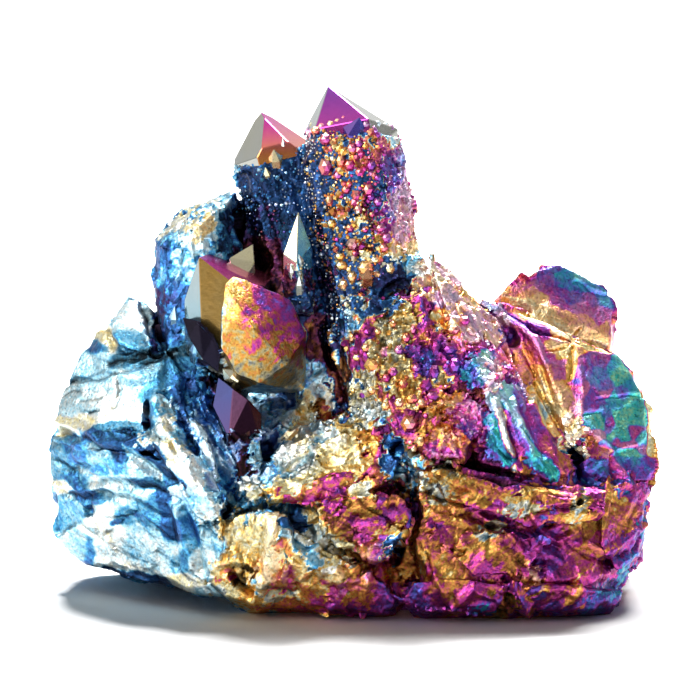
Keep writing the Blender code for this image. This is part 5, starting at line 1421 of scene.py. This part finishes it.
# ------ druse: small crystals all over some faces
# Larger crystals seen in the druse: across, up, half width, half height, film thickness, paleness.
BUDS = [
    (-3.4, 59.6, 0.9, 0.8, 77.5, 0), (-2.7, 58.4, 0.5, 0.5, 73, 5), (-3.4, 56, 1, 1.3, 73.5, 5),
    (-1.4, 56.8, 0.8, 1.1, 72, 5), (0.1, 58.4, 0.8, 0.9, 76, 0), (1, 59, 0.7, 0.7, 80, 0),
    (-2.9, 51.6, 0.6, 0.9, 70, 5), (-0.2, 56.2, 0.9, 0.9, 75.5, 0), (-1.8, 54.9, 0.7, 0.7, 77, 0),
    (1.1, 55.3, 0.7, 0.7, 78, 0), (2.6, 56.1, 0.7, 0.8, 79, 0), (2.2, 53, 0.9, 1.1, 74.5, 5),
    (-0.7, 53, 0.7, 0.7, 73, 0), (0.6, 52.2, 0.7, 0.8, 74.5, 0), (-1.4, 52.2, 0.5, 0.5, 76, 0),
    (2.6, 52, 0.7, 0.7, 81, 0), (-0.3, 53.7, 0.5, 0.5, 72, 0), (0.9, 50.4, 0.7, 0.7, 73.5, 0),
    (3.5, 51.3, 0.7, 0.7, 80, 5), (-0.2, 47.9, 0.7, 0.7, 73, 5), (1.8, 47.7, 0.5, 0.5, 77, 0),
    (-2.6, 48.5, 0.7, 0.7, 68, 10), (0.1, 45.8, 0.9, 0.9, 72.5, 5), (0.5, 44.6, 0.5, 0.5, 77, 0),
    (3.8, 47.9, 0.7, 0.7, 78, 0), (4.6, 46.6, 0.7, 0.8, 80, 0), (-1.5, 44.2, 0.8, 0.6, 67, 15),
    (-1.3, 43, 0.9, 0.7, 68, 10), (0.1, 41.5, 0.7, 0.9, 69, 5), (1.9, 42.6, 1.2, 1.2, 69, 5),
    (5, 42.6, 0.7, 0.9, 63, 20), (-1, 40.5, 0.8, 0.9, 68, 10), (3.1, 43.7, 0.7, 0.5, 64, 20),
    (4.2, 45.3, 0.7, 0.7, 72, 5), (2.7, 49.7, 0.5, 0.5, 73, 0), (3.5, 59, 0.5, 0.5, 77, 0),
    (3.4, 54.5, 0.5, 0.5, 80, 0), (0.1, 33.5, 0.5, 0.7, 68, 5), (0.7, 30.9, 0.7, 0.5, 66, 15),
    (2.7, 29.9, 1.1, 1.1, 70, 5), (2.7, 26.6, 0.7, 0.7, 68, 10), (4.3, 31.7, 0.7, 0.8, 76, 0),
    (6.2, 31.9, 0.7, 0.7, 78, 0), (7.1, 33.5, 0.7, 0.8, 75, 0), (8.1, 34.6, 0.5, 0.8, 77, 0),
    (5.4, 29, 0.7, 0.7, 79, 0), (6.7, 27.5, 0.7, 0.7, 74, 0), (8.5, 29.5, 0.7, 0.7, 80, 0),
    (9.7, 27.2, 0.9, 0.9, 79, 0), (10.8, 29, 0.8, 1.1, 82, -5), (12.8, 31.9, 1.1, 0.8, 80, 0),
    (13.4, 29.8, 0.9, 1.2, 81, -5), (15.2, 29.8, 0.8, 0.8, 87, 0), (10.9, 32.2, 0.7, 1.1, 79, 0),
    (7.8, 25.5, 0.8, 0.8, 70, 5), (7.5, 22.3, 1.2, 1.2, 74, 5), (6.2, 25, 0.7, 0.7, 68, 10),
    (4.5, 24.6, 0.7, 0.7, 67, 10), (9.1, 25, 0.7, 0.7, 72, 5), (10.5, 25.9, 0.9, 0.7, 78, 0),
    (4.5, 28.2, 0.7, 0.7, 76, 0), (1.9, 32.2, 0.7, 0.7, 69, 5), (3.4, 34.3, 0.5, 0.5, 68, 5),
    (5.4, 35.3, 0.5, 0.5, 69, 5), (8.9, 19.9, 0.7, 0.8, 67, 10), (13.4, 34.6, 1.1, 0.8, 74, 5),
    (12.5, 36.2, 0.8, 0.7, 71, 5), (14.8, 35.7, 0.8, 0.7, 76, 10), (9.1, 17.8, 0.4, 0.5, 66, 10),
    (8.3, 17, 0.3, 0.5, 66, 15), (7.5, 15.9, 0.3, 0.4, 66, 20), (8.6, 14.8, 0.4, 0.4, 67, 10),
    (6.7, 17, 0.3, 0.4, 62, 20), (5.9, 14.8, 0.3, 0.3, 67, 10), (-4.7, 60.8, 0.7, 0.6, 70, 0),
    (-3.9, 61.3, 0.7, 0.6, 73, 0), (-2.7, 61.6, 0.7, 0.6, 69, 0), (-1.8, 62, 0.6, 0.5, 72, 0),
    (-1, 62.4, 0.5, 0.5, 76, 0), (1.9, 61.6, 0.7, 0.6, 80, 20), (3.3, 61.7, 0.6, 0.5, 50, 30),
    (4.3, 61.6, 0.6, 0.5, 48, 30), (5.1, 61.2, 0.5, 0.5, 80, 30), (2.7, 60.8, 0.8, 0.8, 78, 0),
    (8.9, 16.4, 0.4, 0.3, 60, 40), (7.3, 14.3, 0.3, 0.3, 66, 10), (9.7, 15.4, 0.3, 0.3, 66, 20),
    (8.1, 19.1, 0.4, 0.5, 67, 10),
]

# Small points: name, across, up, width, length, lean in degrees, film thickness, paleness.
SMALL_POINTS = [
    ("blue_pyramid", -20.5, 31.9, 1.7, 2, 4, 45.5, 5),
    ("cream_crystal", -16.1, 29, 2.3, 1.5, 60, 60, 0),
    ("white_spike", -9.1, 58.9, 0.8, 2.1, 0, 57, 25),
    ("pale_gold_crystal", -10.1, 57.3, 2, 1.9, 8, 62.5, 0),
    ("pale_gold_crystal_2", -11.2, 55.2, 1.1, 1.5, 12, 62, 0),
    ("violet_crystal", 0.6, 60.8, 3.5, 2.9, -14, 85.5, -20),
    ("orange_crystal", 2.1, 41.8, 2.3, 2, 0, 70, 0),
    ("white_crystal", -6.9, 40.7, 1.3, 1.7, 0, 55, -10),
    ("white_crystal_2", -7.9, 42.3, 0.9, 1.3, 10, 56, 0),
    ("blue_crystal_left", -23.4, 36.2, 1.3, 2.4, -4, 50, 10),
    ("grey_crystal", -6.9, 43.7, 1.3, 1.3, 0, 54, 0),
]

# Crystals of size 1 for the druse: their rings, as (radius, height), and the height of the tip. Each starts
# below 0, in the rock.
SMALL_CRYSTAL = ([(0.5, -0.35), (0.5, 0.2)], 0.62)
BUD_CRYSTAL = ([(0.9, -1.0), (1.0, 0.1), (0.62, 0.62)], 0.85)
POINT_CRYSTAL = ([(0.5, -0.9), (0.5, 0.0)], 0.75)


def hexagonal_crystal(rings, tip):
    """A closed six-sided crystal about its own z axis."""
    form = bmesh.new()
    turns = [k * math.tau / PRISM_SIDES for k in range(PRISM_SIDES)]
    corners = [
        [form.verts.new((radius * math.cos(turn), radius * math.sin(turn), height)) for turn in turns]
        for radius, height in rings
    ]
    sides = [(k, (k + 1) % PRISM_SIDES) for k in range(PRISM_SIDES)]
    form.faces.new(corners[0][::-1])
    for under, over in zip(corners[:-1], corners[1:]):
        for k, beside in sides:
            form.faces.new((under[k], under[beside], over[beside], over[k]))
    apex = form.verts.new((0.0, 0.0, tip))
    for k, beside in sides:
        form.faces.new((corners[-1][k], corners[-1][beside], apex))
    return form


# Small crystals: the most to a square metre, how close they stand in parts of their size, and how far they
# lean and turn. They are larger than SMALLEST by up to LARGER_BY. A greater FEW_LARGE makes large ones rarer.
DENSEST, CLOSEST, LEAN, TWIST = 2.0e7, 0.72, 0.45, 3.1
SMALLEST, LARGER_BY, FEW_LARGE = 0.6, 1.3, 4.0
DRUSE_SEED, SIZE_SEED = 3, 7


def druse_tree(crystal):
    """Crystals scattered over a skin by its own druse density, each leaning its own way, as one mesh."""
    tree = bpy.data.node_groups.new("druse", "GeometryNodeTree")
    tree.interface.new_socket("Geometry", in_out="OUTPUT", socket_type="NodeSocketGeometry")
    for name, kind in (("Geometry", "Geometry"), ("Spacing", "Float"), ("Size", "Float"), ("Seed", "Int")):
        tree.interface.new_socket(name, in_out="INPUT", socket_type=f"NodeSocket{kind}")
    given = add(tree, "NodeGroupInput").outputs
    density, grain = (
        add(tree, "GeometryNodeInputNamedAttribute", {"Name": name}, data_type="FLOAT").outputs[0]
        for name in ("druse", "grain")
    )
    spots = add(tree, "GeometryNodeDistributePointsOnFaces", {
        "Mesh": given["Geometry"], "Distance Min": given["Spacing"], "Density Max": DENSEST,
        "Density Factor": density, "Seed": given["Seed"],
    }, distribute_method="POISSON")
    # Sockets 0 and 1 are the least and the greatest vector, 2 and 3 the least and the greatest number.
    lean = add(tree, "FunctionNodeRandomValue", {
        0: (-LEAN, -LEAN, -TWIST), 1: (LEAN, LEAN, TWIST), "Seed": given["Seed"],
    }, data_type="FLOAT_VECTOR")
    turned = add(tree, "FunctionNodeEulerToRotation", {"Euler": lean.outputs[0]})
    stood = add(tree, "FunctionNodeRotateRotation", {
        "Rotation": spots.outputs["Rotation"], "Rotate By": turned.outputs[0],
    }, rotation_space="LOCAL")
    vary = add(tree, "FunctionNodeRandomValue", {2: 0.0, 3: 1.0, "Seed": SIZE_SEED}, data_type="FLOAT")
    few_large = worked(tree, "POWER", vary.outputs[1], FEW_LARGE)
    spread = worked(tree, "MULTIPLY_ADD", few_large, LARGER_BY, SMALLEST)
    scaled = worked(tree, "MULTIPLY", worked(tree, "MULTIPLY", spread, grain), given["Size"])
    form = add(tree, "GeometryNodeObjectInfo", {"Object": crystal})
    stand = add(tree, "GeometryNodeInstanceOnPoints", {
        "Points": spots.outputs["Points"], "Instance": form.outputs["Geometry"],
        "Rotation": stood.outputs[0], "Scale": scaled,
    })
    real = add(tree, "GeometryNodeRealizeInstances", {"Geometry": stand.outputs[0]})
    coated = add(tree, "GeometryNodeSetMaterial", {"Geometry": real.outputs[0], "Material": DRUSE_FILM})
    add(tree, "NodeGroupOutput", {"Geometry": coated.outputs[0]})
    return tree


def covered_skin(name):
    """The faces of the rock that druse covers, with its density and size, for the crystals to stand on."""
    density, size, _ = druse_density(arrays_of(rock.data)[0], outward)
    skin = rock.data.copy()
    for title, values in (("druse", density), ("grain", size)):
        skin.attributes.new(title, "FLOAT", "POINT").data.foreach_set("value", values.astype(np.float32))
    form = bmesh.new()
    form.from_mesh(skin)
    form.verts.ensure_lookup_table()
    bmesh.ops.delete(form, geom=[form.verts[k] for k in np.flatnonzero(density == 0.0)], context="VERTS")
    form.to_mesh(skin)
    form.free()
    return object_of(name, skin)


def face_normals(mesh):
    """The normals of a mesh's faces."""
    return rows_of(mesh.polygons, "normal", 3).astype(float)


# How far a crystal's film strays from its zone's: in parts of the zone's variation, and at least this much.
OWN_FILM, LEAST_OWN_FILM, CRYSTAL_SEED = 0.35, 0.014, 11
# Some crystals in blue and pale films carry a painted glint: their film is thickened and paled towards white.
# They are fewer the larger RARITY is.
RARITY, GLINT_FILM, GLINT_LIGHT, BLUE_BELOW, PALE_BELOW = 5, 0.15, 0.9, 0.48, 0.56
# Paleness varies between crystals and between faces, and grows on faces that look towards the sky, a painted
# light from above. The last two level it.
OWN_LIGHT, FACE_LIGHT, SKY_LIGHT, DRUSE_LIGHT, FACE_LEVEL = 0.1, 0.06, 0.25, 0.1, 0.12
THICKER_WAY, SKY_WAY = np.array([0.8, -0.1, -0.5]), np.array([-0.35, -0.45, 0.82])


def coat_crystals(mesh, film, spread, light, faces_each, turn_shift):
    """Each crystal's film, a little apart from its neighbours', and from face to face by up to turn_shift,
    with painted glints and painted light on faces that look to the sky.
    """
    normals = face_normals(mesh)
    corners = rows_of(mesh.polygons, "loop_total", 1, np.int32).ravel()
    chance = np.random.default_rng(CRYSTAL_SEED)
    of_each = np.repeat(np.arange(len(film)), faces_each)
    film = film + (OWN_FILM * spread + LEAST_OWN_FILM) * chance.normal(size=len(film))
    glint = chance.random(len(film)) ** RARITY
    film = film + GLINT_FILM * glint * (film < BLUE_BELOW)
    light = light + OWN_LIGHT * chance.normal(size=len(light))
    light = light + GLINT_LIGHT * glint * (film < PALE_BELOW) + DRUSE_LIGHT
    face_film = film[of_each] + turn_shift * normals @ THICKER_WAY
    sky = np.clip(normals @ SKY_WAY, -1.0, 1.0)
    # Faces that look to the sky are painted paler: painted light from above.
    face_light = light[of_each] + SKY_LIGHT * sky + FACE_LIGHT * chance.normal(size=len(of_each)) - FACE_LEVEL
    pale, shade = pale_and_shade(face_light)
    shares = [np.repeat(values, corners) for values in (np.clip(face_film, 0.0, 1.0), pale, shade)]
    coat_attribute(mesh, "CORNER", *shares)


def grow_druse():
    """The crust of small crystals, as one mesh, each in the film of the rock under it."""
    mesh = mesh_of(hexagonal_crystal(*SMALL_CRYSTAL), "small crystal")
    crystal = object_of("small crystal", mesh)
    skin = covered_skin("druse")
    grow = skin.modifiers.new("druse", "NODES")
    grow.node_group = druse_tree(crystal)
    items = grow.node_group.interface.items_tree
    sockets = {item.name: item.identifier for item in items if item.in_out == "INPUT"}
    grow[sockets["Spacing"]] = DRUSE_GRAIN * CLOSEST * MM
    grow[sockets["Size"]] = DRUSE_GRAIN * MM
    grow[sockets["Seed"]] = DRUSE_SEED
    keep_modifiers_result(skin)
    bpy.data.objects.remove(crystal)
    points, _ = arrays_of(skin.data)
    middles = points.reshape(-1, len(mesh.vertices), 3).mean(axis=1)
    tip_faces = face_normals(skin.data).reshape(-1, len(mesh.polygons), 3)[:, -PRISM_SIDES:]
    facing = tip_faces.mean(axis=1)
    facing /= np.linalg.norm(facing, axis=1)[:, None]
    _, (film, spread, light) = region_shares(middles, facing)
    for title in [layer.name for layer in skin.data.attributes if layer.name in ("coat", "druse", "grain")]:
        skin.data.attributes.remove(skin.data.attributes[title])
    coat_crystals(skin.data, film, spread, light, len(mesh.polygons), turn_shift=0.035)
    put_on_frame(skin)


# A ray to the rock starts this far in front of it.
IN_FRONT = 100.0


def seen_at(surface, across, up):
    """Where the rock shows at a place on the front, and its normal there."""
    start = Vector((across, 0.0, 0.0)) + Vector(UP_FRONT) * up + Vector(TO_FRONT) * IN_FRONT
    place, normal, _, _ = surface.ray_cast(start * MM, -Vector(TO_FRONT))
    return place, normal


# A bud looks to the front, and by this much along the rock's normal.
BUD_STANDS = 0.55


def place_buds(surface):
    """The larger crystals of the druse, each where it shows from the front, as one mesh."""
    together = bmesh.new()
    for across, up, half_width, half_height, _, _ in BUDS:
        place, normal = seen_at(surface, across, up)
        form = hexagonal_crystal(*BUD_CRYSTAL)
        turn = upright(normal * BUD_STANDS + Vector(TO_FRONT))
        length = 0.5 * (half_width + half_height)
        size = Matrix.Diagonal((half_width * MM, half_height * MM, length * MM, 1.0))
        bmesh.ops.transform(form, matrix=Matrix.Translation(place) @ turn @ size, verts=form.verts)
        bud = mesh_of(form, "bud")
        faces = len(bud.polygons)
        together.from_mesh(bud)
        bpy.data.meshes.remove(bud)
    mesh = mesh_of(together, "druse_buds")
    film, light = np.array(BUDS)[:, -2:].T / HUNDREDTHS
    coat_crystals(mesh, film, np.zeros(len(film)), light, faces, turn_shift=0.055)
    mesh.materials.append(DRUSE_FILM)
    put_on_frame(object_of("druse_buds", mesh))


# A small point leans from upright towards the front.
POINT_STANDS = (Vector(UP_FRONT) * 0.8 + Vector(TO_FRONT) * 0.6).normalized()


def place_small_points(surface):
    """Small points that stand up out of the druse, each where it shows from the front."""
    for name, across, up, width, length, lean, film, light in SMALL_POINTS:
        place, _ = seen_at(surface, across, up)
        form = hexagonal_crystal(*POINT_CRYSTAL)
        turn = Matrix.Rotation(math.radians(lean), 4, Vector(TO_FRONT)) @ upright(POINT_STANDS)
        size = Matrix.Diagonal((width * MM, width * MM, length * MM, 1.0))
        bmesh.ops.transform(form, matrix=Matrix.Translation(place) @ turn @ size, verts=form.verts)
        bmesh.ops.recalc_face_normals(form, faces=form.faces)
        mesh = mesh_of(form, name)
        own_film, own_light = (np.array([value]) / HUNDREDTHS for value in (film, light))
        coat_crystals(mesh, own_film, np.zeros(1), own_light, len(mesh.polygons), turn_shift=0.02)
        mesh.materials.append(FACE_COAT)
        put_on_frame(object_of(name, mesh))


grow_druse()
rock_surface = BVHTree.FromObject(rock, bpy.context.evaluated_depsgraph_get())
place_buds(rock_surface)
place_small_points(rock_surface)
bpy.data.objects.remove(rock)

# ------ camera, light and floor
VIEW_WIDTH, VIEW_CENTRE = 93.5, (-0.2, 31.9)
CAMERA_DISTANCE = 800.0
SENSOR = 36.0

# The floor's and the lights' own measures, in metres.
CLUSTER_MIDDLE = Vector((0.0, 0.0, 0.03))
FLOOR_HALF = 4.0
# The room is brightest above and behind the cluster, a little to the left, and dim behind the camera. Its
# greys go from 0, on the dim side, to 1. It lights matt paper less than the film reflects it.
BRIGHT_WAY = Vector((-0.15, 0.7, 0.7)).normalized()
ROOM_GREYS = [
    (0.2, (0.24, 0.24, 0.25)), (0.4, (0.33,) * 3), (0.6, (0.55,) * 3), (0.8, (0.82,) * 3), (1.0, (0.95,) * 3),
]
ROOM_STRENGTH, ROOM_ON_PAPER = 1.1, 0.22
# One more light, from behind, only throws the shadow forwards over the paper.
SHADOW_WAY, SHADOW_LIGHT, SHADOW_SOFTNESS = Vector((-0.1, 0.5, 0.86)), 4.3, math.radians(8.0)


def turn_to(obj, way, axis):
    """Turns an object so that its axis looks along a direction."""
    obj.rotation_mode = "QUATERNION"
    obj.rotation_quaternion = way.to_track_quat(axis, "Y")


def place_camera():
    """A long lens that looks down by FRONT_TILT on the middle of the cluster."""
    data = bpy.data.cameras.new("camera")
    data.sensor_width = SENSOR
    data.lens = SENSOR * CAMERA_DISTANCE / VIEW_WIDTH
    data.clip_start, data.clip_end = 0.01, 20.0
    camera = object_of("camera", data)
    across, up = VIEW_CENTRE
    back = Vector(TO_FRONT)
    target = Vector((across, 0.0, 0.0)) + Vector(UP_FRONT) * up
    camera.location = (target + back * CAMERA_DISTANCE) * MM
    turn_to(camera, -back, "-Z")
    bpy.context.scene.camera = camera


def soft_box(name, place, size, power):
    """A square light that looks at the cluster."""
    data = bpy.data.lights.new(name, "AREA")
    data.shape, data.size, data.energy = "SQUARE", size, power
    light = object_of(name, data)
    light.location = place
    turn_to(light, CLUSTER_MIDDLE - Vector(place), "-Z")
    return light


def lay_floor():
    """Matt white paper, as uncoated card is: no gloss, and a shadow that stays a clear grey."""
    form = bmesh.new()
    bmesh.ops.create_grid(form, x_segments=1, y_segments=1, size=FLOOR_HALF)
    mesh = mesh_of(form, "floor")
    floor = object_of("floor", mesh)
    material = bpy.data.materials.new("matt white paper")
    material.use_nodes = True
    shader = material.node_tree.nodes["Principled BSDF"]
    shader.inputs["Base Color"].default_value = linear("F2F2F2")
    shader.inputs["Roughness"].default_value = 0.9
    mesh.materials.append(material)


def light_room():
    """The grey room that the film reflects."""
    world = bpy.data.worlds.new("studio")
    bpy.context.scene.world = world
    world.use_nodes = True
    tree = world.node_tree
    background = tree.nodes["Background"]
    way = add(tree, "ShaderNodeTexCoord").outputs["Generated"]
    toward = add(tree, "ShaderNodeVectorMath", {0: way, 1: BRIGHT_WAY}, operation="DOT_PRODUCT")
    share = add(tree, "ShaderNodeMapRange", {
        "Value": toward.outputs["Value"], "From Min": -1.0, "From Max": 1.0,
    }).outputs[0]
    greys = ramp_of(tree, share, [(place, (*grey, 1.0)) for place, grey in ROOM_GREYS])
    tree.links.new(greys, background.inputs["Color"])
    matt = add(tree, "ShaderNodeLightPath").outputs["Is Diffuse Ray"]
    strength = add(tree, "ShaderNodeMapRange", {
        "Value": matt, "To Min": ROOM_STRENGTH, "To Max": ROOM_ON_PAPER,
    })
    tree.links.new(strength.outputs[0], background.inputs["Strength"])


def place_lights():
    """Two soft boxes, of which the left one only glints, and the light that throws the shadow."""
    soft_box("soft box behind", place=(0.12, 0.36, 0.58), size=0.26, power=10.0)
    glint = soft_box("soft box at the left", place=(-0.45, -0.35, 0.42), size=0.5, power=5.5)
    glint.visible_diffuse = False
    data = bpy.data.lights.new("light that throws the shadow", "SUN")
    data.energy, data.angle = SHADOW_LIGHT, SHADOW_SOFTNESS
    sun = object_of(data.name, data)
    turn_to(sun, SHADOW_WAY, "Z")
    sun.visible_glossy = False


place_camera()
lay_floor()
light_room()
place_lights()
bpy.context.scene.view_settings.view_transform = "Standard"
